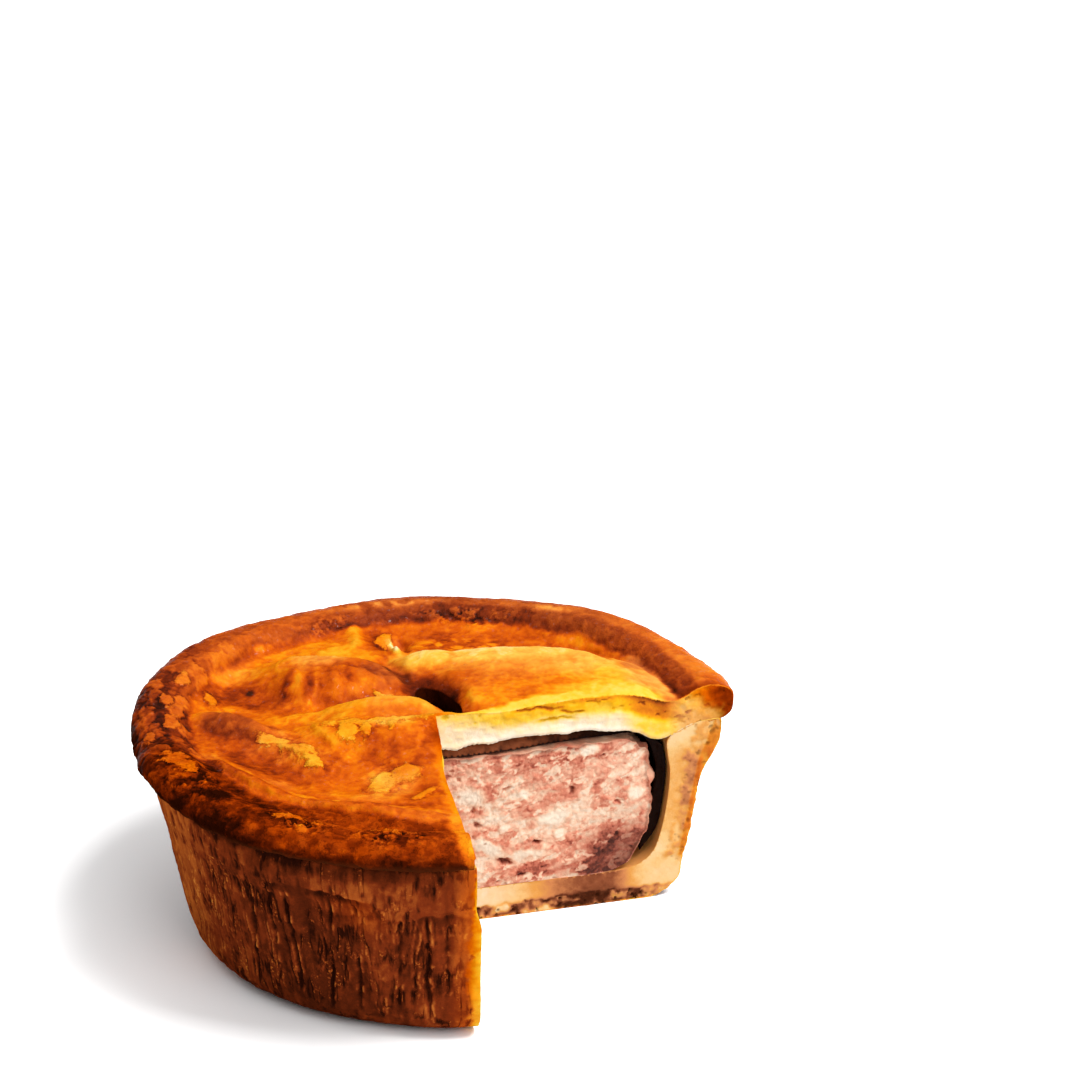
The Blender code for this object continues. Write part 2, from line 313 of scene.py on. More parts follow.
def clearance(x, y):
    """Distance to the nearer cut face, negative where the slice was."""
    inside = np.maximum(behind("a", x, y), behind("b", x, y)) >= 0.0
    to_apex = np.hypot(x - APEX[0], y - APEX[1])
    nearest = to_apex
    for side in ("a", "b"):
        along = outwards(side, x, y)
        nearest = np.minimum(nearest, np.where(along > 0.0, np.abs(behind(side, x, y)), to_apex))
    return np.where(inside, nearest, -nearest)


def distance_at(side, radius):
    """How far along a cut plane, from the apex, this radius is reached."""
    inward = float(APEX @ cut_line(side))
    return -inward + math.sqrt(inward**2 - float(APEX @ APEX) + radius**2)


def azimuth_at(side, radius):
    """The angle at which a cut plane reaches this radius, so that the pie goes from side a up to side b."""
    place = APEX + distance_at(side, radius) * cut_line(side)
    angle = math.atan2(place[1], place[0])
    return angle if side == "a" else angle % (2 * math.pi)


# ---------------------------------------------------------------- surfaces

# height of a triangle with equal sides of 1, for rows of points that stand between those of the last row
ROW_STEP = 0.866


class Outline:
    """A smooth line through (radius, height) points, from the axis outwards. A place on it is told by
    `along`, which is the radius as far as `level_to` and grows by the line's length after that."""

    def __init__(self, points, level_to):
        knots = np.array(points, float)
        run = np.concatenate([[0.0], np.cumsum(np.linalg.norm(np.diff(knots, axis=0), axis=1))])
        slopes = np.empty_like(knots)
        slopes[1:-1] = (knots[2:] - knots[:-2]) / (run[2:] - run[:-2])[:, None]
        slopes[0] = (1.0, 0.0)
        slopes[-1] = (knots[-1] - knots[-2]) / (run[-1] - run[-2])
        fine = []
        for k in range(len(knots) - 1):
            length = run[k + 1] - run[k]
            count = max(2, int(math.ceil(length / 0.2)))
            t = np.linspace(0.0, 1.0, count, endpoint=False)[:, None]
            fine.append(
                (2 * t**3 - 3 * t**2 + 1) * knots[k] + (t**3 - 2 * t**2 + t) * length * slopes[k]
                + (-2 * t**3 + 3 * t**2) * knots[k + 1] + (t**3 - t**2) * length * slopes[k + 1]
            )
        fine.append(knots[-1:])
        line = np.concatenate(fine)
        self.radius, self.height = line[:, 0], line[:, 1]
        self.level_to = level_to
        level = int(np.argmax(self.radius > level_to))
        steps = np.linalg.norm(np.diff(line, axis=0), axis=1)
        self.along = self.radius.copy()
        self.along[level:] = self.along[level - 1] + np.cumsum(steps[level - 1:])

    def at(self, along):
        return np.interp(along, self.along, self.radius), np.interp(along, self.along, self.height)


def sides_of(triangles):
    """The three sides of each triangle, each with the lower number of its two points first."""
    sides = np.concatenate([triangles[:, [0, 1]], triangles[:, [1, 2]], triangles[:, [2, 0]]])
    return np.sort(sides, axis=1)


def triangulate(flat, loops):
    """Triangles over flat points, inside the first closed loop of them and outside the second."""
    edges = []
    start = 0
    for count in loops:
        edges += [(start + k, start + (k + 1) % count) for k in range(count)]
        start += count
    _, _, found, _, _, _ = delaunay_2d_cdt([Vector(place) for place in flat], edges, [], 1, 1e-7, False)
    triangles = np.array(found)
    in_hole = ((triangles >= loops[0]) & (triangles < start)).all(axis=1)
    triangles = triangles[~in_hole]

    fixed = {(min(edge), max(edge)) for edge in edges}
    sides = sides_of(triangles)
    keys, counts = np.unique(sides[:, 0].astype(np.int64) * len(flat) + sides[:, 1], return_counts=True)
    single = set(keys[counts == 1].tolist())
    doubtful = np.nonzero((triangles < loops[0]).all(axis=1))[0].tolist()
    beside = {}
    for index in doubtful:
        corners = triangles[index].tolist()
        for k in range(3):
            edge = (min(corners[k], corners[k - 1]), max(corners[k], corners[k - 1]))
            if edge not in fixed:
                beside.setdefault(edge, []).append(index)
    outside = {
        index
        for edge, owners in beside.items()
        for index in owners
        if edge[0] * len(flat) + edge[1] in single
    }
    border = list(outside)
    open_edges = {}
    for edge, owners in beside.items():
        for index in owners:
            open_edges.setdefault(index, []).append(edge)
    while border:
        index = border.pop()
        for edge in open_edges.get(index, []):
            for other in beside[edge]:
                if other not in outside:
                    outside.add(other)
                    border.append(other)
    keep = np.ones(len(triangles), bool)
    keep[list(outside)] = False
    return triangles[keep]


def hole_axes():
    """Level directions along the steam hole's length and across it."""
    turn = HOLE_DIRECTION
    return np.array([math.cos(turn), math.sin(turn)]), np.array([-math.sin(turn), math.cos(turn)])


class Sheet:
    """A turned surface, but for the slice cut out: its points, its triangles and the rows on its borders."""

    def __init__(self, outline, spacing_at, ring_spacing, hole=None, upward=True, row_spacing=None):
        self.outline = outline
        end = outline.along[-1]
        rows = {side: self.cut_row(side, row_spacing or spacing_at) for side in ("a", "b")}
        ring_radius = outline.radius[-1]
        start, stop = azimuth_at("a", ring_radius), azimuth_at("b", ring_radius)
        steps = int(math.ceil((stop - start) * ring_radius / ring_spacing))
        ring = [(end, start + (stop - start) * k / steps) for k in range(1, steps)]
        loop = rows["a"] + ring + rows["b"][:0:-1]
        count_a, count_b = len(rows["a"]), len(rows["b"])
        self.row_a = np.arange(count_a)
        self.row_b = np.concatenate([[0], np.arange(len(loop) - 1, len(loop) - count_b, -1)])
        loops = [len(loop)]
        self.row_hole = np.zeros(0, int)
        if hole is not None:
            round_hole = self.hole_row(*hole)
            loops.append(len(round_hole))
            self.row_hole = np.arange(len(loop), len(loop) + len(round_hole))
            loop = loop + round_hole
        inner = self.inner_points(spacing_at, hole)
        places = np.concatenate([np.array(loop), inner])
        self.along, self.azimuth = places[:, 0], places[:, 1]
        flat = np.stack([self.along * np.cos(self.azimuth), self.along * np.sin(self.azimuth)], axis=-1)
        triangles = triangulate(flat, loops)
        self.triangles = triangles if upward else triangles[:, ::-1]
        radius, height = outline.at(self.along)
        self.points = on_cylinder(self.azimuth, radius, height)

    def cut_row(self, side, spacing_at):
        """(along, azimuth) of the points on a cut, from the apex outwards."""
        row = []
        reach = distance_at(side, self.outline.level_to)
        away = 0.0
        while away < reach:
            place = APEX + away * cut_line(side)
            radius = float(np.hypot(*place))
            angle = math.atan2(place[1], place[0])
            row.append((radius, angle if side == "a" and away > 0.0 else angle % (2 * math.pi)))
            away += spacing_at(radius)
        along = self.outline.level_to
        end = self.outline.along[-1]
        while along < end - 0.4 * spacing_at(end):
            row.append((along, azimuth_at(side, float(self.outline.at(along)[0]))))
            along += spacing_at(along)
        row.append((end, azimuth_at(side, float(self.outline.radius[-1]))))
        return row

    @staticmethod
    def hole_row(middle, radii, spacing):
        """(along, azimuth) of the points round the steam hole."""
        count = int(2 * math.pi * max(radii) / spacing)
        turns = [2 * math.pi * k / count for k in range(count)]
        long, wide = hole_axes()
        places = [middle + radii[0] * math.cos(t) * long + radii[1] * math.sin(t) * wide for t in turns]
        return [(float(np.hypot(*p)), math.atan2(p[1], p[0]) % (2 * math.pi)) for p in places]

    def inner_points(self, spacing_at, hole):
        """(along, azimuth) of the points within the borders, in rings that are a little uneven."""
        rings = [np.array([[0.0, 0.0]])]
        along = spacing_at(0.0)
        end = self.outline.along[-1]
        while along < end - 0.6 * spacing_at(end):
            spacing = spacing_at(along)
            count = max(6, int(round(2 * math.pi * along / spacing)))
            turn = 0.5 * (len(rings) % 2)
            cells = np.stack([np.full(count, len(rings)), np.arange(count)], axis=-1)
            wobble = hashed(cells, 5) - 0.5
            angles = (np.arange(count) + turn + 0.3 * wobble) * 2 * math.pi / count
            alongs = along + 0.25 * spacing * (hashed(cells, 6) - 0.5)
            rings.append(np.stack([alongs, angles], axis=-1))
            along += ROW_STEP * spacing
        places = np.concatenate(rings)
        radius = self.outline.at(places[:, 0])[0]
        x, y = radius * np.cos(places[:, 1]), radius * np.sin(places[:, 1])
        spacing = np.array([spacing_at(a) for a in places[:, 0]])
        room = clearance(x, y) * np.maximum(places[:, 0], 1.0) / np.maximum(radius, 1.0)
        keep = room > 0.55 * spacing
        if hole is not None:
            middle, radii, hole_spacing = hole
            long, wide = hole_axes()
            off = np.stack([x - middle[0], y - middle[1]], axis=-1)
            away = np.hypot(off @ long / radii[0], off @ wide / radii[1]) - 1.0
            keep &= away * min(radii) > 0.5 * hole_spacing
        return places[keep]

    def normals(self):
        return point_normals(self.points, self.triangles)

    def push(self, amount):
        """Moves each point along its normal, but a point on a cut stays in its plane."""
        normals = self.normals()
        for side, row in (("a", self.row_a), ("b", self.row_b)):
            outward = np.array([*cut_normal(side), 0.0])
            normals[row] -= (normals[row] @ outward)[:, None] * outward
        self.points = self.points + normals * np.asarray(amount)[:, None]


def point_normals(points, triangles):
    across = np.cross(
        points[triangles[:, 1]] - points[triangles[:, 0]], points[triangles[:, 2]] - points[triangles[:, 0]]
    )
    total = np.empty_like(points)
    for axis in range(3):
        spread = np.repeat(across[:, axis], 3)
        total[:, axis] = np.bincount(triangles.ravel(), spread, len(points))
    return total / np.maximum(np.linalg.norm(total, axis=1), 1e-12)[:, None]


def inside_loop(loop, places):
    """Whether each place is inside a closed loop, and its distance to the loop's points."""
    inside = np.zeros(len(places), bool)
    x, y = places[:, 0], places[:, 1]
    for (x0, y0), (x1, y1) in zip(loop, np.roll(loop, -1, axis=0)):
        if y0 == y1:
            continue
        crosses = (y0 > y) != (y1 > y)
        inside ^= crosses & (x < (x1 - x0) * (y - y0) / (y1 - y0) + x0)
    away = np.full(len(places), 1e9)
    for start in range(0, len(places), 4000):
        part = slice(start, start + 4000)
        gaps = places[part, None, :] - loop[None, :, :]
        away[part] = np.sqrt((gaps**2).sum(axis=2).min(axis=1))
    return inside, away


class CutFace:
    """The face of one piece on one cut plane, between the border rows of its upper and its lower sheet."""

    def __init__(self, side, upper, lower, spacing):
        self.side = side
        upper_row = upper.points[upper.row_a if side == "a" else upper.row_b]
        lower_row = lower.points[lower.row_a if side == "a" else lower.row_b]
        height = upper_row[0, 2] - lower_row[0, 2]
        steps = max(1, int(round(height / spacing)))
        shares = np.arange(1, steps)[:, None] / steps
        column = upper_row[:1] + (lower_row[:1] - upper_row[:1]) * shares
        border = np.concatenate([lower_row, upper_row[-2::-1], column])
        loop = self.flat(border)
        low, high = loop.min(axis=0), loop.max(axis=0)
        rows = np.arange(low[1], high[1], ROW_STEP * spacing)
        grid = []
        for k, level in enumerate(rows):
            line = np.arange(low[0] + 0.5 * spacing * (k % 2), high[0], spacing)
            grid.append(np.stack([line, np.full(len(line), level)], axis=-1))
        grid = np.concatenate(grid)
        cells = np.round(grid * 1000).astype(np.int64)
        grid += 0.3 * spacing * np.stack([hashed(cells, 8) - 0.5, hashed(cells, 9) - 0.5], axis=-1)
        inside, away = inside_loop(loop, grid)
        keep = inside & (away > 0.6 * spacing)
        self.place = np.concatenate([loop, grid[keep]])
        self.edge = np.concatenate([np.zeros(len(loop)), away[keep]])
        triangles = triangulate(self.place, [len(loop)])
        self.triangles = triangles if side == "a" else triangles[:, ::-1]
        base = np.append(APEX, 0.0)
        line = np.append(cut_line(side), 0.0)
        inner = base + grid[keep, :1] * line + grid[keep, 1:] * np.array([0.0, 0.0, 1.0])
        self.points = np.concatenate([border, inner])
        self.roof = self.height_of(upper_row)
        self.foot = self.height_of(lower_row)

    def height_of(self, row):
        """Height of a border row above each place of the face."""
        places = self.flat(row)
        places = places[: int(np.argmax(places[:, 0])) + 1]
        return np.interp(self.place[:, 0], places[:, 0], places[:, 1])

    def flat(self, points):
        return np.stack([outwards(self.side, points[:, 0], points[:, 1]), points[:, 2]], axis=-1)

    def spread(self, key_a, key_b):
        """The places of the face in a solid pattern, with one key for each side so that the sides differ."""
        key = key_a if self.side == "a" else key_b
        return np.stack([*self.place.T, np.full(len(self.place), key)], axis=-1)

    def push(self, amount, border=0.7):
        """Moves the face out of its plane by an amount that falls to nothing at its border."""
        normal = np.append(cut_normal(self.side), 0.0)
        fade = smooth_step(0.0, border, self.edge)
        self.points = self.points + (amount * fade)[:, None] * normal


# ---------------------------------------------------------------- meshes


def make_piece(name, parts, look, node):
    """One closed mesh from parts, each (points, triangles, numbers at its points, group). Points that fall
    together become one, and the edge between two groups is a sharp one."""
    points = np.concatenate([part[0] for part in parts])
    starts = np.cumsum([0] + [len(part[0]) for part in parts])
    triangles = np.concatenate([part[1] + start for part, start in zip(parts, starts)])
    groups = np.concatenate([np.full(len(part[1]), part[3]) for part in parts])
    _, first, index = np.unique(np.round(points, 4), axis=0, return_index=True, return_inverse=True)
    index = index.reshape(-1)
    triangles = index[triangles]
    whole = (
        (triangles[:, 0] != triangles[:, 1])
        & (triangles[:, 1] != triangles[:, 2])
        & (triangles[:, 2] != triangles[:, 0])
    )
    triangles, groups = triangles[whole], groups[whole]

    mesh = bpy.data.meshes.new(name)
    mesh.vertices.add(len(first))
    mesh.vertices.foreach_set("co", (points[first] * MM).astype(np.float32).ravel())
    mesh.loops.add(3 * len(triangles))
    mesh.loops.foreach_set("vertex_index", triangles.astype(np.int32).ravel())
    mesh.polygons.add(len(triangles))
    mesh.polygons.foreach_set("loop_start", np.arange(0, 3 * len(triangles), 3, dtype=np.int32))
    mesh.update(calc_edges=True)
    mesh.validate()
    mesh.shade_smooth()

    ends = sides_of(triangles)
    keys = ends[:, 0].astype(np.int64) * len(first) + ends[:, 1]
    order = np.argsort(keys, kind="stable")
    keys, sides = keys[order], np.tile(groups, 3)[order]
    between = np.unique(keys[1:][(keys[1:] == keys[:-1]) & (sides[1:] != sides[:-1])])
    found = np.empty(2 * len(mesh.edges), np.int32)
    mesh.edges.foreach_get("vertices", found)
    found = np.sort(found.reshape(-1, 2), axis=1).astype(np.int64)
    sharp = mesh.attributes.new("sharp_edge", "BOOLEAN", "EDGE")
    sharp.data.foreach_set("value", np.isin(found[:, 0] * len(first) + found[:, 1], between))

    for key in sorted({key for part in parts for key in part[2]}):
        values = np.zeros(len(first))
        for part, start in reversed(list(zip(parts, starts))):
            if key in part[2]:
                values[index[start : start + len(part[0])]] = part[2][key]
        kept = mesh.attributes.new(key, "FLOAT", "POINT")
        kept.data.foreach_set("value", values.astype(np.float32))

    mesh.materials.append(look)
    piece = bpy.data.objects.new(name, mesh)
    bpy.context.scene.collection.objects.link(piece)
    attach(piece, "root")
    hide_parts(node)


# ---------------------------------------------------------------- the lid

# x, y, half length, half width, direction of the length, height, steepness of the sides
LID_FORMS = {
    "swelling_behind_cut": (21.0, 15.9, 26.0, 17.6, 6.0, 3.9, 2.3),
    "swelling_crest": (10.0, 29.0, 19.0, 5.2, 0.0, 1.4, 2.5),
    "swelling_corner": (-3.5, 28.0, 5.5, 5.0, 0.0, 1.4, 2.0),
    "swelling_left": (-25.0, 20.5, 17.0, 9.0, -5.0, 3.3, 1.6),
    "lip_of_steam_hole": (-10.0, 3.4, 14.0, 3.6, 4.0, 2.1, 1.2),
    "apex_edge": (5.0, -3.4, 7.0, 2.8, 12.0, 2.6, 1.3),
    "cut_edge_left": (17.0, 0.5, 8.0, 4.0, 15.0, 0.8, 1.4),
    "cut_edge_right": (37.5, 7.5, 14.0, 6.0, 15.0, 1.7, 1.6),
    "front_slab": (-12.5, -5.5, 14.5, 9.5, 14.0, 2.6, 2.2),
    "slab_corner": (-3.0, -13.0, 8.0, 9.0, 80.0, 1.6, 1.2),
    "red_ridge": (-43.0, -3.5, 11.0, 3.6, -28.0, 1.8, 1.2),
    "crimp_fold": (-20.0, 47.0, 7.0, 2.6, 112.0, 0.8, 1.2),
    "rim_end_behind_cut": (54.0, 16.0, 6.0, 4.5, 100.0, 1.2, 1.0),
    "front_roll_left": (-39.0, -31.0, 17.0, 5.0, -47.0, 1.5, 1.6),
    "front_roll_right": (-9.0, -46.5, 20.0, 5.0, -8.0, 1.5, 1.6),
    "left_hollow": (-41.0, 15.0, 11.0, 8.0, 110.0, -1.6, 1.2),
    "front_hollow": (-13.0, -28.0, 16.0, 6.5, -8.0, -2.0, 1.2),
    "front_left_hollow": (-34.0, -18.5, 12.0, 5.5, 130.0, -1.6, 1.2),
    "back_hollow": (8.0, 42.0, 24.0, 6.5, -12.0, -1.4, 1.2),
    "back_dimple": (-10.5, 43.0, 4.5, 3.4, 60.0, -2.2, 1.2),
    "valley_from_hole": (-19.0, 9.8, 14.0, 2.8, 20.0, -1.6, 1.2),
    "steam_hole_funnel": (-0.2, 9.4, 11.0, 5.2, 118.0, -2.6, 2.2),
}
RIM_SHARE_OF_RELIEF = 0.2

# angle, half width in degrees, outward swelling, rise
RIM_LUMPS = {
    "overlap": (-153.0, 9.0, 0.5, 1.3),
    "notch_before_overlap": (-168.0, 6.0, -0.7, -0.9),
    "left_lump": (173.0, 10.0, 0.5, 0.5),
    "front_sag": (-103.0, 16.0, 0.2, -0.9),
    "front_lump": (-124.0, 10.0, 0.3, 0.3),
    "back_left_rise": (146.0, 22.0, 0.3, 1.2),
    "back_right_rise": (54.0, 22.0, -0.1, 1.3),
    "cut_end_rise": (17.0, 9.0, 0.3, 0.6),
}

# where the dough of the lid is torn open behind the steam hole
SLIT = [(-12.2, 47), (-11.0, 42), (-10.2, 38), (-9.4, 34.5)]

# route, width on its left, width on its right, height
LID_FOLDS = {
    "curl_of_swelling": ([(-13, 34), (-11, 29), (-8, 23), (-6, 17)], 1.0, 2.2, -1.0),
    "crest_of_swelling": ([(-9, 28.5), (-5, 31), (2, 32), (14, 32.5), (27, 31), (38, 26)], 0.8, 3.0, 0.6),
    "slit": (SLIT, 0.7, 0.8, 1.3),
    "beside_slit": ([(-9.4, 47), (-8.4, 42), (-7.4, 36)], 0.8, 0.8, -0.8),
    "lip": ([(-27, 5.4), (-16, 5.6), (-9, 4.8), (-3, 3.9), (1.4, 1.0), (3.6, -3.4)], 0.9, 3.0, 1.1),
    "tan_ridge": ([(-38, 26), (-30, 27.5), (-22, 27), (-15, 24), (-10, 20)], 1.0, 3.2, 0.9),
    "tan_ridge_below": ([(-24, 21), (-17, 19.5), (-11, 15)], 0.8, 2.4, 0.7),
    "left_facet": ([(-33, 22), (-28.5, 13), (-27, 4)], 0.9, 3.4, 0.8),
    "middle_facet": ([(-23, 19), (-21, 12), (-21, 6)], 0.7, 2.6, 0.7),
    "red_ridge": ([(-53, 3), (-46, 0.5), (-40, -3.5), (-34, -9)], 1.0, 3.2, 1.1),
    "ridge_to_flakes": ([(-39, -11), (-32, -12.5), (-26, -18), (-22, -25)], 0.7, 2.6, 0.9),
    "slab_left_edge": ([(-26, -3), (-24.5, -9), (-20, -15)], 2.6, 0.8, 0.6),
    "crimp": ([(-20.5, 52), (-19.8, 46), (-18.6, 38)], 1.2, 1.2, 0.5),
    "behind_rim_start": ([(-50, 22), (-42, 33), (-32, 42), (-22, 48)], 0.8, 1.0, -0.8),
    "front_line": ([(-56, -8), (-50, -16), (-41, -25), (-30, -32.5), (-15, -39), (6, -41)], 1.6, 0.8, -0.4),
    "front_crest": (
        [
            (-51, -13), (-43, -25), (-38, -31), (-32.5, -36.5),
            (-22.5, -42), (-15.5, -44), (-9, -45.5), (-2, -48),
        ],
        3.2, 1.0, 1.1,
    ),
    "overlap_crest": ([(-60, -22), (-55, -27), (-48, -30), (-41, -34)], 1.2, 2.4, 0.9),
    "right_line": ([(24, 44), (34, 38), (43, 30), (49.5, 19), (51, 11)], 1.0, 0.8, -0.7),
}


def lid_relief(x, y):
    """How far the lid's broad forms and folds raise it at each place."""
    rise = sum(form[5] * mound(x, y, form) for form in LID_FORMS.values())
    for route, left, right, height in LID_FOLDS.values():
        rise = rise + height * ridge(x, y, route, left, right)
    return rise


def rim_lump(azimuth):
    """(outward swelling, rise) of the rim at this angle."""
    swelling = 0.35 * np.sin(5 * azimuth + math.radians(40))
    rise = 0.3 * np.sin(7 * azimuth + math.radians(100))
    for middle, half_width, outward, up in RIM_LUMPS.values():
        away = wrapped(np.degrees(azimuth) - middle)
        share = bell(away, 0.0, half_width)
        swelling = swelling + outward * share
        rise = rise + up * share
    return swelling, rise


def behind_cut(azimuth):
    """1 for the part of the rim that starts at the cut on the right, 0 for the rest."""
    angle = wrapped(np.degrees(azimuth))
    return fall_off(20, 50, angle) * smooth_step(-40, 0, angle)


def sinking(relief, radius):
    """How far the layers below the lid follow its hollows."""
    return 0.35 * np.minimum(relief, 0.0) * fall_off(38, 46, radius)


def shape_lid(sheet):
    """The lid's broad forms, on the top or on the underside."""
    points = sheet.points
    radius = np.hypot(points[:, 0], points[:, 1])
    swelling, rise = rim_lump(sheet.azimuth)
    at_rim = smooth_step(RIM - 15, RIM - 8, radius)
    above = smooth_step(UNDER, LID - 1.5, points[:, 2])
    upper_roll = at_rim * smooth_step(SEAM, LID - 0.2, points[:, 2])
    relief = lid_relief(points[:, 0], points[:, 1])
    sunk = sinking(relief, radius) * (1.0 - above)
    on_lip = smooth_step(RIM - 7.5, RIM - 5.0, radius) * fall_off(SEAM + 1.5, LID - 0.2, points[:, 2])
    relief = relief * (1.0 - (1.0 - RIM_SHARE_OF_RELIEF) * at_rim)
    points[:, 2] += upper_roll * rise + relief * above + sunk - 1.5 * on_lip * behind_cut(sheet.azimuth)
    over = np.maximum(points[:, 2] - TOP, 0.0)
    points[:, 2] -= over * over / (over + 1.0)
    stretch = 1.0 + swelling * upper_roll / np.maximum(radius, 1e-6)
    points[:, :2] *= stretch[:, None]


# x, y, reach, bake from 0 (pale) to 1 (nearly burnt), dryness from 0 (glazed) to 1 (floury)
# The tones also hold painted light: the swelling's top is paler and its front darker partly from the glaze,
# partly as painted light and shade.
LID_TONES = {
    "swelling_top": (12, 25, 9, 0.20, 0.50), "swelling_top_right": (28, 25, 9, 0.24, 0.45),
    "swelling_crest_left": (-4, 30, 4.5, 0.12, 0.30), "swelling_crest": (8, 32, 5, 0.14, 0.30),
    "swelling_front": (10, 16, 9, 0.54, 0.10), "swelling_front_low": (15, 6, 7, 0.42, 0.0),
    "swelling_front_right": (26, 13, 5, 0.38, 0.0), "swelling_yellow": (36, 12, 8, 0.25, 0.0),
    "swelling_far": (45, 18, 5, 0.30, 0.75), "dry_line": (44, 29, 3, 0.50, 0.85),
    "dry_line_end": (51, 12, 3, 0.46, 0.80), "back_basin_left": (1, 42, 5, 0.62, 0.0),
    "back_basin_mid": (10, 41, 5, 0.56, 0.0), "back_basin_right": (20, 41, 6, 0.58, 0.0),
    "back_basin_far": (33, 37, 6, 0.48, 0.0), "pocket": (-15, 44, 3.5, 0.64, 0.0),
    "crimp": (-20, 44, 3, 0.42, 0.0), "slit_foot": (-8, 28, 2.5, 0.40, 0.20),
    "slit_side": (-12, 45, 2, 0.40, 0.2), "left_back": (-33, 37, 7, 0.45, 0.0),
    "left_back_yellow": (-23, 34, 5, 0.28, 0.0), "left_swelling_top": (-26, 26, 4.5, 0.40, 0.60),
    "left_swelling_front": (-22, 19, 6, 0.57, 0.0), "red_valley": (-12, 22, 4.0, 0.70, 0.40),
    "left_facet": (-34, 14, 5, 0.54, 0.0), "facet_dark": (-27.5, 13, 3, 0.66, 0.0),
    "facet_light": (-31, 6, 3, 0.46, 0.0), "left_basin": (-44, 14, 5, 0.64, 0.0),
    "left_basin_edge": (-46, 26, 4, 0.42, 0.15), "left_basin_low": (-46, 7, 3, 0.40, 0.0),
    "left_middle": (-30, 0, 7, 0.42, 0.0), "left_middle_light": (-25, 2, 3, 0.32, 0.0),
    "valley": (-16, 10, 3.5, 0.50, 0.0), "valley_flakes": (-12, 11.5, 2, 0.30, 0.4),
    # hole_back and hole are painted shade round the steam hole's mouth.
    "hole_back": (-5, 17, 2.6, 0.72, 0.0), "hole_right": (4, 15, 3, 0.66, 0.0),
    "hole": (0, 9, 4, 0.98, 0.0), "lip": (-10, 3.5, 4, 0.44, 0.25), "lip_end": (0, 0.5, 3, 0.34, 0.2),
    "slab_top": (-20, 0, 5, 0.36, 0.0), "slab_top_right": (-6, -3, 4, 0.38, 0.10),
    "slab_crest": (-9, -6.5, 3, 0.34, 0.3), "slab_face": (-4, -13, 6, 0.59, 0.0),
    "slab_face_left": (-12, -12, 3, 0.55, 0.0), "drip": (-17.5, -13, 2.6, 0.36, 0.0),
    "drip_low": (-17, -17, 2.2, 0.38, 0.0), "slab_side": (-23, -8, 3, 0.46, 0.0),
    "slab_foot": (-10, -20, 4, 0.62, 0.0), "slab_foot_left": (-21, -22, 4, 0.57, 0.0),
    "yellow_patch": (-8, -27, 4.5, 0.32, 0.30), "yellow_patch_low": (-11, -32, 3.5, 0.40, 0.2),
    "front_basin": (-20, -29, 6, 0.50, 0.0), "front_basin_right": (0, -28, 4, 0.54, 0.0),
    "front_basin_low": (-3, -36, 4, 0.55, 0.0), "red_ridge": (-45, -1.5, 3.6, 0.72, 0.28),
    "red_ridge_middle": (-41, -4.5, 3.4, 0.76, 0.30), "red_ridge_low": (-37, -8, 2.6, 0.70, 0.24),
    "red_ridge_tip": (-33, -9.5, 1.6, 0.60, 0.15), "red_ridge_end": (-34.5, -6.0, 2.2, 0.66, 0.25),
    "ridge_side": (-38, -13.5, 2.2, 0.50, 0.2), "seam_below_ridge": (-33, -9, 2, 0.36, 0.2),
    "flakes": (-32, -13, 3.5, 0.46, 0.20), "flakes_low": (-25, -20, 3.5, 0.42, 0.12),
    "low_left": (-38, -18, 4.5, 0.66, 0.0), "low_left_inner": (-30, -22, 4, 0.64, 0.0),
    "low_left_outer": (-46, -13, 3.5, 0.58, 0.0), "front_line_left": (-46, -19, 2.6, 0.50, 0.15),
    "front_line": (-33, -30.5, 2.6, 0.52, 0.20), "front_line_right": (-18, -36.5, 2.6, 0.50, 0.10),
}


def tone_of(x, y, tones):
    """Bake and dryness blended from the tones near each place, and half baked away from them all."""
    rest_weight, rest_bake = 0.02, 0.5
    weight = np.full(np.shape(x), rest_weight)
    bake = rest_weight * rest_bake
    dry = np.zeros(np.shape(x))
    for place_x, place_y, reach, tone_bake, tone_dry in tones.values():
        share = np.exp(-1.6 * ((x - place_x) ** 2 + (y - place_y) ** 2) / reach**2)
        weight = weight + share
        bake = bake + share * tone_bake
        dry = dry + share * tone_dry
    return bake / weight, dry / weight


# angle, half width, bake of the rim outside and inside its crest, dryness, radius of its start and its crest
# The rim's greater dryness at the back is partly a painted sheen, and its darkness at the front partly
# painted shade.
RIM_TONES = {
    "end_behind_cut": (8, 9, 0.80, 0.79, 0.10, 52.5, 57.5),
    "right_top": (18, 8, 0.34, 0.66, 0.35, 52.5, 57.5), "right": (36, 12, 0.52, 0.70, 0.30, 53.0, 57.5),
    "back_right": (62, 16, 0.60, 0.74, 0.45, 53.5, 57.5), "back": (92, 16, 0.66, 0.75, 0.40, 53.5, 57.5),
    "back_left": (122, 16, 0.62, 0.66, 0.25, 53.5, 57.5),
    "left_back": (148, 14, 0.68, 0.56, 0.20, 54.5, 58.0), "left": (172, 12, 0.84, 0.68, 0.20, 53.5, 58.0),
    "left_front": (194, 12, 0.86, 0.74, 0.15, 52.0, 56.0), "overlap": (211, 7, 0.76, 0.62, 0.0, 48.5, 51.0),
    "front_left": (228, 11, 0.84, 0.54, 0.0, 46.5, 51.0), "front": (250, 12, 0.72, 0.50, 0.05, 44.5, 47.5),
    "front_end": (272, 9, 0.74, 0.52, 0.1, 45.0, 48.5),
}


def rim_tone(azimuth):
    """(bake outside the crest, bake inside it, dryness, start, crest) of the rim at this angle."""
    angle = np.degrees(azimuth) % 360.0
    weight = np.full(np.shape(azimuth), 1e-6)
    totals = [0.0, 0.0, 0.0, 0.0, 0.0]
    for middle, half_width, *values in RIM_TONES.values():
        away = wrapped(angle - middle)
        share = bell(away, 0.0, half_width) + 1e-6
        weight = weight + share
        totals = [total + share * value for total, value in zip(totals, values)]
    return [total / weight for total in totals]


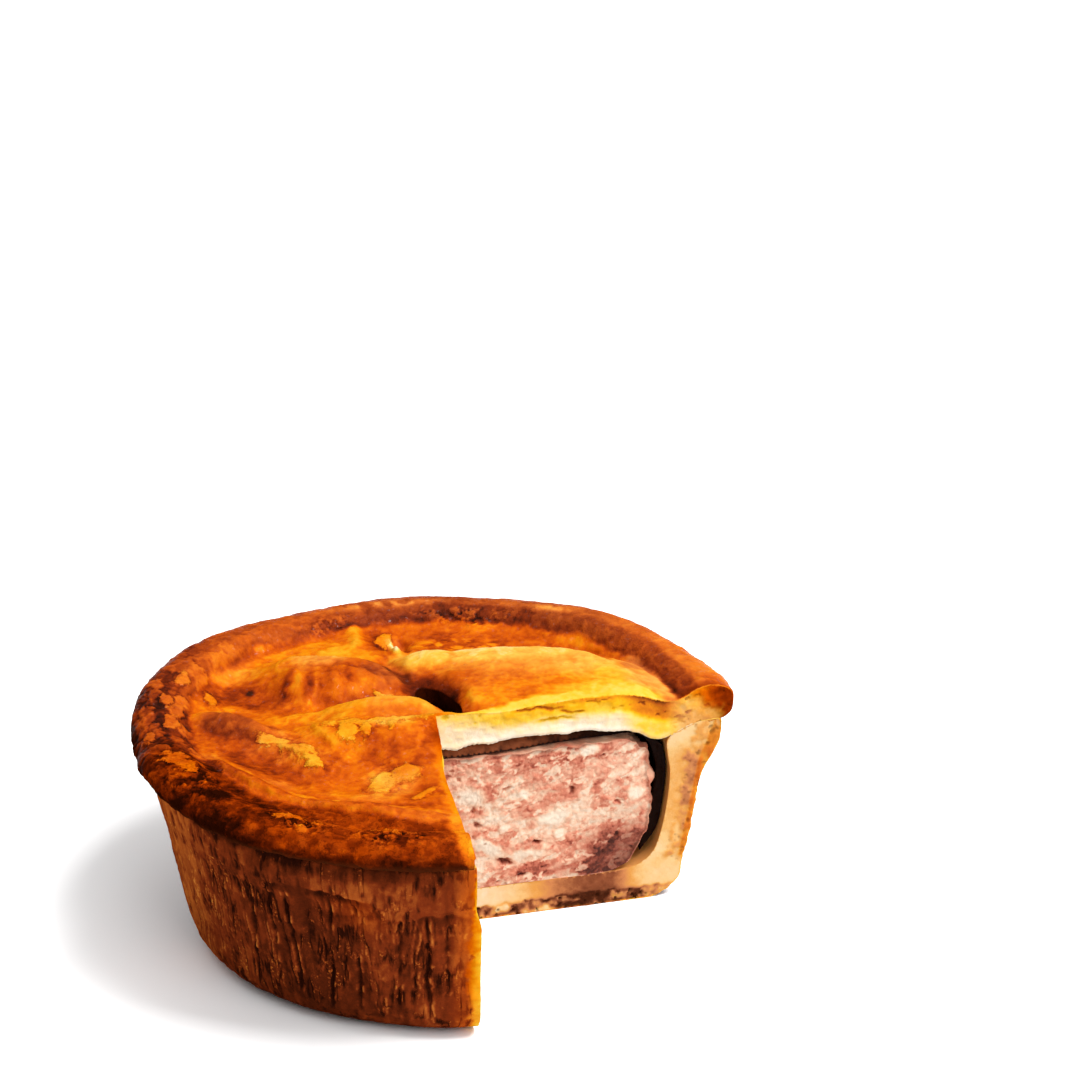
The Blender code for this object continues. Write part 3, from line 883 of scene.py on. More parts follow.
def flakes_at(points, size, seed, cover):
    """Raised flakes: (1 on a flake, 1 along its torn edge, 1 in the gap beside it)."""
    field = layered(warped(points, 0.6 * size, 0.35 * size, seed + 50), size, seed, 4, 0.6) - cover
    return (
        smooth_step(0.0, 0.05, field),
        bell(field, 0.04, 0.04),
        bell(field, -0.05, 0.05),
    )


def wrinkles(points, size, seed, width=0.25):
    """Narrow folds that wander over a surface: 1 along a fold, 0 away from it."""
    field = layered(warped(points, size, 0.3 * size, seed + 60), size, seed, 3, 0.5)
    return to_unit(1.0 - np.abs(field) / width) ** 1.5


def hollowness(sheet, relief, rounds, full):
    """From -1 on ridges to 1 in hollows of a relief, for forms as wide as this many rounds of smoothing
    reach. `full` is the depth, in millimetres, that counts as nearly 1."""
    ends = sheet.triangles[:, [0, 1, 1, 2, 2, 0]].reshape(-1)
    others = sheet.triangles[:, [1, 0, 2, 1, 0, 2]].reshape(-1)
    neighbours = np.maximum(np.bincount(ends, minlength=len(relief)), 1)
    smooth = relief
    for _ in range(rounds):
        smooth = 0.4 * smooth + 0.6 * np.bincount(ends, smooth[others], len(relief)) / neighbours
    return np.tanh((smooth - relief) / full)


def eased(points):
    """The points with what would stand out of the solid's box pressed back into it. The pressing starts
    `room` millimetres before the box."""
    room = 0.7
    eased_points = points.copy()
    for axis, low, high in zip(range(3), *CAD_BOUNDS):
        for sign, limit in ((1.0, high / MM), (-1.0, -low / MM)):
            if axis == 2 and sign < 0.0:
                continue
            over = np.maximum(sign * eased_points[:, axis] - (limit - room), 0.0)
            eased_points[:, axis] -= sign * over * over / (over + room)
    return eased_points


# where the glaze has torn and flaked: x, y, half length, half width, direction, amount, steepness
TORN_PLACES = {
    "left_patch": (-29.0, -15.0, 9.0, 4.0, -48.0, 0.35, 1.8),
    "valley": (-13.0, 11.0, 4.0, 1.8, 10.0, 0.8, 1.5), "crest": (-15.0, -6.0, 12.0, 2.2, -2.0, 0.7, 2.0),
    "back_line": (8.0, 54.0, 12.0, 1.8, -3.0, 0.9, 2.0),
    "back_line_left": (-26.0, 48.0, 6.0, 1.6, 28.0, 0.4, 1.5),
    "rim_bubbles": (-26.0, -51.0, 7.0, 4.0, -28.0, 0.9, 1.5),
    "rim_front": (-8.0, -57.0, 7.0, 4.0, -10.0, 0.8, 1.5),
    "rim_left": (-47.0, -36.0, 8.0, 4.0, -50.0, 0.6, 1.5),
    "yellow_patch": (-9.0, -27.0, 5.0, 7.0, 0.0, 0.35, 1.5),
}
# thin leaves of glazed dough on the lid: x, y, half length, half width, direction, bake
LEAF_STEEPNESS = 1.0
LEAVES = {
    "patch_top": (-33.5, -10.5, 5.2, 1.9, -20.0, 0.28),
    "patch_middle": (-29.0, -14.0, 5.0, 2.6, -38.0, 0.32),
    "patch_low": (-25.5, -18.5, 4.6, 2.0, -55.0, 0.30), "drip_left": (-18.5, -9.5, 2.2, 4.2, 5.0, 0.29),
    "drip_middle": (-14.6, -9.0, 1.5, 4.4, -6.0, 0.36), "drip_right": (-9.6, -8.0, 1.1, 2.8, 8.0, 0.38),
    "slab_border": (-12.0, -5.6, 13.0, 1.7, 6.0, 0.30),
    "yellow_left": (-10.5, -27.0, 3.0, 5.4, -24.0, 0.30),
    "yellow_right": (-5.5, -24.0, 3.8, 2.8, 25.0, 0.40), "edge_right": (-1.5, -33.0, 1.6, 4.4, -30.0, 0.42),
    "pocket_side": (-13.0, 45.0, 1.8, 4.0, -8.0, 0.36),
    "valley_flake": (-12.0, 12.6, 2.8, 1.1, -30.0, 0.30),
    "left_basin_edge": (-49.0, 12.0, 1.6, 4.4, 10.0, 0.42),
    "rim_crumbs": (-28.0, -50.5, 5.0, 1.8, -26.0, 0.44),
    "rim_crumbs_right": (-8.0, -55.5, 4.5, 1.6, -8.0, 0.48),
    "rim_left_upper": (-57.5, 4.0, 1.6, 3.4, 0.0, 0.50), "rim_left": (-56.0, -5.0, 1.8, 3.8, 8.0, 0.52),
    "rim_left_lower": (-59.5, -13.0, 1.4, 3.0, 12.0, 0.60),
    "rim_left_high": (-55.5, 14.0, 1.5, 3.6, -12.0, 0.48),
    "overlap_top": (-52.0, -27.5, 3.0, 6.5, 38.0, 0.50),
}
# darker strokes, partly brush and partly painted shade: x, y, half length, half width, direction, amount
STROKE_STEEPNESS = 1.2
DARK_STROKES = {
    "swelling": (-28.0, 14.0, 1.2, 6.5, -8.0, 0.20), "swelling_left": (-33.0, 15.0, 0.9, 6.0, -14.0, 0.16),
    "swelling_right": (-23.5, 16.0, 0.9, 4.5, -4.0, 0.16),
    "swelling_far": (-19.5, 17.0, 0.8, 4.0, 2.0, 0.12), "slab": (-13.0, -13.0, 0.9, 3.6, 4.0, 0.14),
    "slab_right": (-6.0, -13.0, 0.8, 4.5, 4.0, 0.12),
}
# single places like those above: small lumps behind the swelling, and a burnt spot at the left
LUMPY_PLACE = (4, 43, 12, 4.0, -3, 1, 2.5)
BURNT_SPOT = (-41, 16, 0.7, 0.9, 0, 1, 1.0)
# where brush strokes of the glaze show, all along y; their colour is partly painted shade
BRUSHED_PLACES = {
    "left": (-27.0, 14.0, 14.0, 9.0, 100.0, 1.0, 1.5), "slab": (-11.0, -14.0, 13.0, 9.0, 0.0, 0.8, 1.5),
    "back": (10.0, 41.0, 22.0, 6.0, -5.0, 0.7, 1.5),
}


def dress_lid_top(sheet):
    """The fine relief of the lid's top and rim, and what its colour follows."""
    points = sheet.points
    x, y, z = points[:, 0], points[:, 1], points[:, 2]
    radius = np.hypot(x, y)
    azimuth = sheet.azimuth
    angle = np.degrees(azimuth) % 360.0
    arc = on_cylinder(azimuth, RIM_CYLINDER, sheet.along)
    rim_outside, rim_inside, rim_dry, rim_start, rim_crest = rim_tone(azimuth)
    ragged = 1.3 * layered(arc, 5.0, 8, 4)
    at_rim = smooth_step(-0.7, 0.7, radius - rim_start - ragged)
    start = bell(radius - rim_start - ragged, 0.0, 0.9)
    past_crest = smooth_step(-0.9, 1.3, radius - rim_crest - ragged)
    on_lid = 1.0 - at_rim
    outer = smooth_step(RIM - 8, RIM - 1, radius) * fall_off(LID - 0.5, LID + 2.5, z)
    # low paints dark brown shade under the rim's overhang, and lower darkens the rim's lower edge at the
    # front: both painted shade.
    low = outer * fall_off(LID - 2.5, LID - 0.8, z)
    lower = outer * fall_off(LID - 1.6, LID + 0.8, z)
    fade = fall_off(sheet.outline.along[-1] - 4.0, sheet.outline.along[-1] - 2.0, sheet.along)
    edge = clearance(x, y)
    near_cut = fall_off(0.5, 3.0, edge)

    broad = layered(points, 8.0, 1, 3)
    middle = layered(points, 3.6, 9, 3)
    fine = layered(points, 1.9, 2, 4)
    grain = layered(points, 0.9, 3, 2)
    streaks = layered(arc * np.array([0.9, 0.9, 1.3]), 4.4, 4, 3)
    rim_folds = wrinkles(arc * np.array([0.7, 0.7, 1.0]), 4.0, 14, 0.2)
    upright = layered(arc * np.array([1.0, 1.0, 0.35]), 1.6, 5, 3)
    strokes = layered(warped(points, 5.0, 1.0, 19) * np.array([1.0, 0.22, 0.5]), 1.9, 20, 4, 0.6)
    small, small_edge, small_gap = flakes_at(points, 2.8, 7, 0.10)
    folds = wrinkles(points * np.array([1.0, 0.6, 1.0]), 8.0, 10)
    small_folds = wrinkles(points, 3.4, 11)
    stains = smooth_step(-0.06, 0.06, layered(warped(points, 6.0, 2.5, 12), 6.0, 13, 5, 0.62))

    flaky = at_rim * (0.12 + 0.88 * bell(angle, 184.0, 30.0)) * (1.0 - 0.5 * outer)
    torn = strongest(x + 1.2 * middle, y + 1.2 * fine, TORN_PLACES)
    brushed = strongest(x, y, BRUSHED_PLACES)

    leaf = np.zeros(len(x))
    leaf_bake = np.full(len(x), 0.5)
    frayed = warped(points[:, :2], 3.0, 1.2, 26)
    for place in LEAVES.values():
        share = mound(frayed[:, 0], frayed[:, 1], (*place, LEAF_STEEPNESS))
        leaf_bake = np.where(share > leaf, place[5], leaf_bake)
        leaf = np.maximum(leaf, share)
    raised = smooth_step(0.40, 0.62, leaf)
    tall_arc = warped(arc * np.array([1.0, 1.0, 1.3]), 3.0, 1.6, 33)
    near_cell, next_cell, shingle = scattered_cells(tall_arc, 4.4, 36)
    shingle_edge = fall_off(0.0, 0.14, next_cell - near_cell)

    at_front = smooth_step(200, 212, angle) * fall_off(300, 320, angle)
    calm = 1.0 - 0.6 * bell(angle, 90.0, 50.0)
    relief = on_lid * (
        0.30 * broad + 0.26 * middle + 0.10 * folds - 0.06 * small_folds + 0.16 * brushed * strokes
    )
    relief = relief + at_rim * calm * (0.26 * streaks + 0.22 * middle + 0.16 * rim_folds)
    relief = relief - 0.4 * start * (0.6 + fine) * (1.0 - 0.8 * at_front) + 0.12 * fine + 0.05 * grain
    relief = relief + flaky * (0.45 * shingle + 0.22 * small - 0.12 * shingle_edge) + 0.35 * raised
    relief = relief + torn * (0.45 * small + 0.22 * small_edge - 0.20 * small_gap)
    relief = relief + outer * calm * 0.24 * upright
    relief = relief * fade * (1.0 - 0.6 * near_cut)
    forms = lid_relief(x, y) * (1.0 - (1.0 - RIM_SHARE_OF_RELIEF) * at_rim) * (1.0 - outer)
    sheet.push(relief)
    sheet.points = eased(sheet.points)
    fine_hollows = hollowness(sheet, relief, 6, 0.05)
    wide_hollows = hollowness(sheet, relief + forms, 50, 0.35)

    flat = warped(warped(points[:, :2], 6.0, 2.4, 16), 1.8, 0.9, 17)
    bake, dry = tone_of(flat[:, 0], flat[:, 1], LID_TONES)
    slit = ridge(x + 0.3 * fine, y, SLIT, 0.75, 0.75)
    bake = bake + 0.08 * (stains - 0.5) + 0.05 * broad + 0.06 * middle - 0.01 * folds
    bake = bake * (1.0 - slit) - 0.02 * slit
    # Brush strokes and dark strokes: partly glaze, partly painted shade between facets.
    bake = bake + 0.26 * brushed * np.clip(strokes, -0.5, 0.5)
    for place in DARK_STROKES.values():
        bake = bake + place[5] * mound(x + 0.8 * middle, y, (*place, STROKE_STEEPNESS))
    rim_bake = rim_inside + (rim_outside - rim_inside) * past_crest
    rim_bake = rim_bake + 0.11 * streaks + 0.05 * middle - 0.02 * rim_folds
    at_front_left = bell(angle, 224.0, 20.0)
    burnt = smooth_step(0.08, 0.22, layered(warped(arc, 4.0, 1.6, 22), 5.4, 23, 3, 0.45))
    rim_bake = rim_bake + 0.12 * burnt * at_front_left * past_crest
    at_back = bell(angle, 88.0, 26.0)
    # The crease where the rim starts is a little darker at the back: painted shade.
    bake = bake * on_lid + rim_bake * at_rim + 0.04 * at_back * start
    dry = dry * on_lid + rim_dry * at_rim
    back_slope = at_rim * fall_off(LID + 0.5, LID + 3.2, z) * (1.0 - outer) * smooth_step(40, 70, angle)
    bake = bake + 0.06 * back_slope * fall_off(150, 175, angle)
    bake = bake + outer * (0.03 * smooth_step(120, 200, angle) + 0.10 * upright)
    # The gaps beside flakes and between shingles are darkened: painted shadow.
    bake = bake - flaky * (0.15 * smooth_step(0.45, 0.75, shingle) - 0.05 * shingle_edge)
    bake = bake - torn * (0.06 * small + 0.10 * small_edge - 0.14 * small_gap)
    # Darker in hollows and paler on ridges: partly glaze that pools in the hollows, partly painted shade.
    bake = bake + 0.055 + 0.03 * fine + (0.05 - 0.025 * at_rim) * fine_hollows + 0.12 * wide_hollows
    # Painted highlight: a pale, dry-looking streak along the crest of the back rim, broken by noise.
    painted_gleam = bell(radius, 58.2, 1.3) * smooth_step(-0.15, 0.15, layered(arc, 3.0, 24, 3))
    painted_gleam = painted_gleam * (bell(angle, 102.0, 11.0) + 0.8 * bell(angle, 65.0, 4.0))
    # The rim's lower edge at the front is darkened: painted shade.
    bake = bake - 0.36 * painted_gleam + 0.12 * lower * at_front

    lumps = smooth_step(0.44, 0.26, scattered_cells(warped(points[:, :2], 2.0, 1.6, 25), 3.4, 18)[0])
    lumps = 0.8 * lumps * mound(x, y, LUMPY_PLACE)
    bake = bake * (1.0 - lumps) + 0.34 * lumps
    crest = LID_FOLDS["front_crest"][0]
    # A thin paler line along the front crest is a painted highlight; the browner band beside it is the
    # crest's dry skin.
    bake = bake - 0.10 * ridge(x + 0.4 * fine, y + 0.9, crest, 1.0, 0.5)
    bake = bake + 0.10 * ridge(x, y - 1.0, crest, 0.8, 2.6)
    spot = mound(x, y, BURNT_SPOT)
    bake = bake + 0.5 * spot

    along_a = outwards("a", x, y)
    yellow_width = np.interp(along_a, [3, 10, 20, 30, 38, 43, 50], [0.4, 1.6, 2.6, 3.0, 5.5, 6.0, 3.0])
    yellow = fall_off(-0.7, 0.7, behind("a", x, y) - yellow_width - 1.6 * middle - 0.8 * fine)
    yellow = yellow * smooth_step(3, 8, along_a) * fall_off(48, 52, along_a) * (along_a > 0)
    bake = bake * (1.0 - yellow) + (0.15 + 0.08 * fine + 0.06 * fine_hollows) * yellow
    from_b = edge - 0.3 - 0.01 * radius - (1.6 - 1.2 * outer) * smooth_step(42, 50, radius)
    from_b = (from_b - 1.6 * fine - 1.6 * middle) / (2.8 - 1.6 * outer)
    near_b = fall_off(0.2, 1.0, from_b) * (behind("a", x, y) < 0.0)
    near_b = near_b * smooth_step(10, 25, radius)
    bake = bake * (1.0 - near_b) + (0.42 + 0.1 * fine + 0.1 * middle + 0.12 * outer) * near_b
    dry = np.maximum(dry, 0.5 * slit) * (1.0 - yellow) + 0.10 * fine + 0.10 * torn * small_edge + 0.5 * painted_gleam
    flaking = to_unit(0.05 + 0.10 * at_rim + 0.35 * at_front * past_crest + 0.6 * torn)
    return {
        "bake": to_unit(bake),
        "dry": to_unit(dry),
        "crumb": to_unit(0.8 * yellow * smooth_step(0.9, 0.0, behind("a", x, y)) * (along_a > 0)),
        "crumb_tone": to_unit(0.46 + 0.2 * fine),
        # shade: the burnt spot, and painted shade under the rim.
        "shade": to_unit(np.maximum(0.9 * spot, 0.8 * low)),
        "gloss": to_unit(1.0 - outer - near_cut) * (1.0 - past_crest * smooth_step(185, 205, angle)),
        "leaf": leaf,
        "leaf_bake": leaf_bake + 0.10 * middle,
        "flaking": flaking * (1.0 - low) * (1.0 - 0.8 * slit),
    }


def roll_dough(sheet):
    """Uneven rolls along the underside of the lid, next to the cuts."""
    x, y = sheet.points[:, 0], sheet.points[:, 1]
    inside = fall_off(44, 50, np.hypot(x, y))
    near = fall_off(4, 12, clearance(x, y))
    sheet.points[:, 2] += inside * near * 0.75 * layered(sheet.points, 4.0, 30, 3)


# ---------------------------------------------------------------- the case


def shape_case(sheet):
    """Broad upright folds, the proud band below the rim at the front, a fuller top behind the cut and a foot
    that spreads beside it."""
    points = sheet.points
    radius = np.hypot(points[:, 0], points[:, 1])
    z = points[:, 2]
    angle = wrapped(np.degrees(sheet.azimuth))
    outside = smooth_step(51, 53.1, radius)
    folds = 0.30 * np.sin(np.radians(17 * angle)) + 0.22 * np.sin(np.radians(11 * angle + 60))
    at_front = smooth_step(-150, -125, angle) * fall_off(-70, -60, angle)
    band = 0.5 * at_front * smooth_step(31, 33, z)
    on_wall = outside * smooth_step(4, 12, z) * fall_off(36, 41, z)
    fuller = 2.4 * behind_cut(sheet.azimuth) * smooth_step(27, 37, z) * smooth_step(56, 59, radius)
    at_foot = np.where(z < FLOOR - 0.2, smooth_step(38, 45, radius), outside)
    at_foot = at_foot * fall_off(7.8, 15.6, z)
    spread = 1.5 * at_foot * bell(angle, -80.0, 16.0)
    end = sheet.outline.along[-1]
    fuller = fuller * fall_off(end - 2.0, end - 0.3, sheet.along)
    stretch = 1.0 + ((folds + band) * on_wall + fuller + spread) / np.maximum(radius, 1e-6)
    points[:, :2] *= stretch[:, None]


# angle of a crack at half height, its lean in degrees from foot to band, depth, lowest and highest point
WALL_CRACKS = {
    "left": (-130.2, 3.0, 1.1, 5, 33), "left_second": (-124.3, 0.5, 0.8, 8, 34),
    "middle_left": (-119.5, -1.0, 1.2, 5, 34), "middle": (-111.0, 2.4, 1.1, 5, 34),
    "middle_right": (-105.2, 1.0, 1.0, 6, 33), "right": (-96.2, 1.8, 1.1, 4, 30),
    "right_second": (-93.0, 1.0, 0.8, 8, 29), "right_third": (-90.6, -0.5, 1.1, 4, 30),
    "edge": (-86.5, 0.8, 0.6, 10, 29), "far_left": (-143.0, 1.5, 0.8, 6, 30),
    "farther_left": (-152.0, 2.0, 0.6, 8, 26),
}
FINE_CRACK_STEP = 2.3


def wall_crack(angle, height, middle, lean, depth, low, high, width, seed):
    """(depth of a crack, swelling of its lips) at each place of the wall."""
    level = np.stack([height, np.full(len(height), 7.0 * seed)], axis=-1)
    wander = 0.5 * layered(level, 7.0, 31 + seed, 3) + 0.22 * noise(level, 1.2, 61 + seed)
    centre = middle + lean * (height - 20.0) / 30.0 + wander
    away = wrapped(angle - centre) * math.pi / 180.0 * WALL_CYLINDER
    ends = smooth_step(low - 1.0, low + 4.0, height) * fall_off(high - 2.0, high + 0.5, height)
    breaks = 0.55 + 0.6 * noise(level, 3.5, 91 + seed)
    groove = depth * ends * np.clip(breaks, 0.15, 1.0) * bell(away, 0.0, width)
    lips = ends * bell(away - 1.7 * width, 0.0, 0.7 * width)
    lips = lips + 0.5 * ends * bell(away + 1.7 * width, 0.0, 0.7 * width)
    return groove, lips * smooth_step(-0.1, 0.5, noise(level, 1.6, 121 + seed))


def dress_case_outside(sheet):
    """Upright cracks with torn lips, the band below the rim with its ragged foot, and the browning."""
    points = sheet.points
    x, y, z = points[:, 0], points[:, 1], points[:, 2]
    radius = np.hypot(x, y)
    angle = wrapped(np.degrees(sheet.azimuth))
    wall = smooth_step(46, 53, radius) * smooth_step(0.3, 3.0, z)
    end = sheet.outline.along[-1]
    fade = fall_off(end - 3.0, end - 1.6, sheet.along)
    arc = on_cylinder(sheet.azimuth, WALL_CYLINDER, z)

    broad = layered(points, 7.0, 201, 3)
    fine = layered(points, 1.8, 202, 4)
    upright = layered(arc * np.array([1.0, 1.0, 0.16]), 1.9, 203, 4)
    ticks = layered(arc * np.array([1.0, 1.0, 0.22]), 1.1, 204, 2)
    pits = smooth_step(0.45, 0.7, noise(arc * np.array([1.0, 1.0, 0.5]), 1.1, 205))

    groove = np.zeros(len(z))
    lips = np.zeros(len(z))
    for seed, crack in enumerate(WALL_CRACKS.values()):
        one, lip = wall_crack(angle, z, *crack, 0.38, seed)
        groove, lips = np.maximum(groove, one), np.maximum(lips, lip)
    for k in range(int(264 / FINE_CRACK_STEP)):
        chance = [float(hashed(np.array([[k, j]]), 300)[0]) for j in range(6)]
        middle = 17.0 + (k + 0.8 * chance[0]) * FINE_CRACK_STEP
        low, high = 3.0 + 12.0 * chance[1], 34.0 - 10.0 * chance[2] ** 2
        depth = 0.25 + 0.45 * chance[4] ** 2
        one, lip = wall_crack(angle, z, middle, 2.4 * chance[3] - 1.2, depth, low, high, 0.26, 20 + k)
        groove, lips = np.maximum(groove, one), np.maximum(lips, 0.9 * chance[5] * lip)

    ragged = 1.5 * layered(np.stack([angle, 0 * angle], axis=-1), 5.0, 206, 4)
    band_foot = 30.2 + 4.2 * fall_off(-102, -98, angle) + ragged
    at_front = smooth_step(-130, -117, angle) * fall_off(-78, -70, angle)
    band = smooth_step(-0.25, 0.35, z - band_foot)
    below_band = bell(z - band_foot, -0.8, 0.8) * (1.0 - band)
    tick_marks = band * smooth_step(0.15, 0.55, ticks) * fall_off(39.5, 41, z)

    relief = wall * (0.30 * upright + 0.10 * fine + 0.22 * broad - 0.15 * pits - 0.20 * tick_marks)
    relief = relief - wall * groove * (1.0 - 0.85 * band) + wall * 0.28 * lips * (1.0 - band)
    ledge = at_front * (1.0 - 0.5 * smooth_step(-103, -97, angle))
    ledge = ledge * smooth_step(-0.5, 0.3, noise(arc, 5.0, 209))
    ledge = ledge * (1.0 - bell(angle, -100.0, 3.0))
    relief = relief + wall * ledge * (0.30 * band - 0.6 * below_band * (0.6 + fine))
    relief = relief + (1.0 - wall) * 0.10 * fine
    edge = clearance(x, y)
    side_b = behind("a", x, y) < 0.0
    crumbly = fall_off(0.3, 2.2, edge - 0.8 * fine) * side_b * fall_off(24, 34, z)
    relief = relief + crumbly * 0.45 * layered(points, 1.4, 207, 3)
    sheet.push(relief * fade * smooth_step(0.0, 0.6, z))

    # Pits and cracks are darkened as painted shade in them; the crack lips are paler torn crumb with a
    # painted highlight, stronger on one side.
    bake = 0.895 + 0.05 * broad + 0.05 * fine - 0.07 * upright + 0.05 * pits
    bake = bake + 0.25 * to_unit(groove) * (1.0 - 0.8 * band) - 0.30 * lips * (1.0 - band)
    # Tick marks and the wall under the band's ledge are darkened: painted shade in the ticks, painted shadow
    # under the ledge.
    bake = bake - 0.01 * band * fall_off(38.5, 41, z) + 0.14 * tick_marks + 0.10 * below_band * ledge
    bright = bell(angle, -106.0, 11.0) * fall_off(37.2, 39.6, z + 0.8 * fine)
    bright = bright + 0.25 * smooth_step(-100, -88, angle)
    bake = bake - 0.16 * band * bright * at_front - 0.03 * smooth_step(-106, -98, angle)
    glowing = bell(angle, -104.0, 6.0) * smooth_step(22, 31, z) * (1.0 - band)
    # Painted shade under the rim: the wall's top is darkened where the rim overhangs it, more towards the
    # left.
    below_rim = (0.02 + 0.14 * fall_off(-122, -110, angle)) * smooth_step(39.0, 41.0, z + 1.2 * fine)
    bake = bake - 0.09 * glowing + below_rim
    bake = bake - 0.07 * smooth_step(0.0, 0.4, layered(arc * np.array([1.0, 1.0, 0.4]), 3.6, 208, 4, 0.6))
    bake = bake - 0.18 * bell(angle, -156.0, 16.0) - 0.05 * smooth_step(28, 36, z) * (1.0 - at_front)
    strip_width = np.interp(z, [0, 25, 33, 42], [1.5, 1.4, 0.7, 0.5])
    edge_strip = fall_off(-0.5, 0.6, edge - strip_width - 1.5 * fine) * side_b
    glow = fall_off(1.0, 6.5, edge - fine) * side_b
    strip_bake = 0.22 + 0.24 * np.clip(edge / strip_width, 0.0, 1.2) + 0.25 * fine
    bake = (bake - 0.17 * glow) * (1.0 - edge_strip) + strip_bake * edge_strip
    seam = smooth_step(end - 3.2, end - 2.0, sheet.along)
    return {
        "bake": to_unit(bake),
        "dry": to_unit(0.80 + 0.2 * lips - 0.8 * edge_strip - 0.5 * glow - 0.4 * glowing),
        "crumb": np.maximum(seam, 0.2 * edge_strip * fall_off(6, 14, z)),
        "crumb_tone": np.full(len(z), 0.45),
        "shade": np.zeros(len(z)),
        "gloss": np.zeros(len(z)),
        "cracked": wall * (1.0 - edge_strip) * (1.0 - 0.25 * band),
    }


# ---------------------------------------------------------------- cut faces of the pastry

# cracks in the yellow crumb along the lid's edge: routes over distance from the apex and height
CRUMB_CRACKS = [
    [(16.5, 48.9), (19, 48.6), (22, 48.9), (25, 48.3), (29, 48.2)],
    [(27, 47.6), (30, 47.0), (33, 46.9)], [(22, 45.6), (27, 45.9), (31, 45.4)],
]


def dress_lid_face(face):
    """Pale rolled dough below, yellow crumb above, and the baked skin round the rim's end."""
    s, z = face.place[:, 0], face.place[:, 1]
    flat = face.spread(3.0, 90.0)
    fine = layered(flat, 1.4, 401, 4)
    streaky = layered(flat * np.array([0.3, 1.0, 1.0]), 1.5, 402, 4)
    pores = smooth_step(0.36, 0.50, layered(flat * np.array([0.5, 1.0, 1.0]), 1.0, 403, 3, 0.65))
    depth = face.roof - z
    crumb_depth = np.interp(s, [0, 8, 20, 40, 50], [1.6, 2.8, 3.4, 3.9, 4.4])
    crumbly = fall_off(-1.6, 1.8, depth - crumb_depth + 1.2 * streaky)
    at_rim = smooth_step(50, 56, s)
    skin = smooth_step(-4.5, 2.0, (z - 47.5) + 0.55 * (s - 56.0) + 1.4 * fine)
    skin = np.maximum(skin * at_rim, smooth_step(61.0, 64.5, s + 0.8 * fine))
    cracks = np.zeros(len(s))
    for route in CRUMB_CRACKS:
        cracks = np.maximum(cracks, ridge(s, z + 0.5 * fine, route, 0.25, 0.35))
    cracks = 0.7 * cracks * (face.side == "a")
    roll = (1.0 - crumbly) * (1.0 - at_rim)
    lowest = smooth_step(1.9, 0.4, z - face.foot) * roll
    face.push(
        roll * (0.30 + 0.16 * fine + 0.25 * streaky) + 0.25 * lowest
        + crumbly * (0.30 * fine + 0.2 * streaky - 0.30 * pores) + at_rim * (0.34 * fine - 0.25 * pores)
        - 0.7 * cracks
    )
    tone = 0.13 + (0.26 + 0.18 * smooth_step(4, 22, s)) * crumbly
    tone = tone + 0.10 * streaky + 0.06 * fine - 0.09 * lowest
    tone = tone + 0.16 * fall_off(0.2, 1.6, depth) * crumbly * smooth_step(14, 30, s)
    tone = tone + 0.28 * smooth_step(40, 46, s)
    end_tone = 0.48 + 0.08 * smooth_step(54, 60, s) + 0.10 * fine + 0.05 * streaky + 0.12 * pores
    tone = tone * (1.0 - at_rim) + end_tone * at_rim
    # Pores and cracks in the crumb are darkened: painted shade in them.
    tone = tone + 0.15 * pores * crumbly + 0.45 * cracks + 0.30 * (face.side == "b")
    return {
        "bake": to_unit(0.34 + 0.46 * smooth_step(55, 64.5, s) + 0.08 * fine + 0.1 * streaky),
        "dry": at_rim * (1.0 - skin),
        "crumb": to_unit(1.0 - skin),
        "crumb_tone": to_unit(tone),
        "shade": to_unit(0.10 * pores * crumbly + 0.2 * cracks),
        "gloss": np.zeros(len(s)),
    }


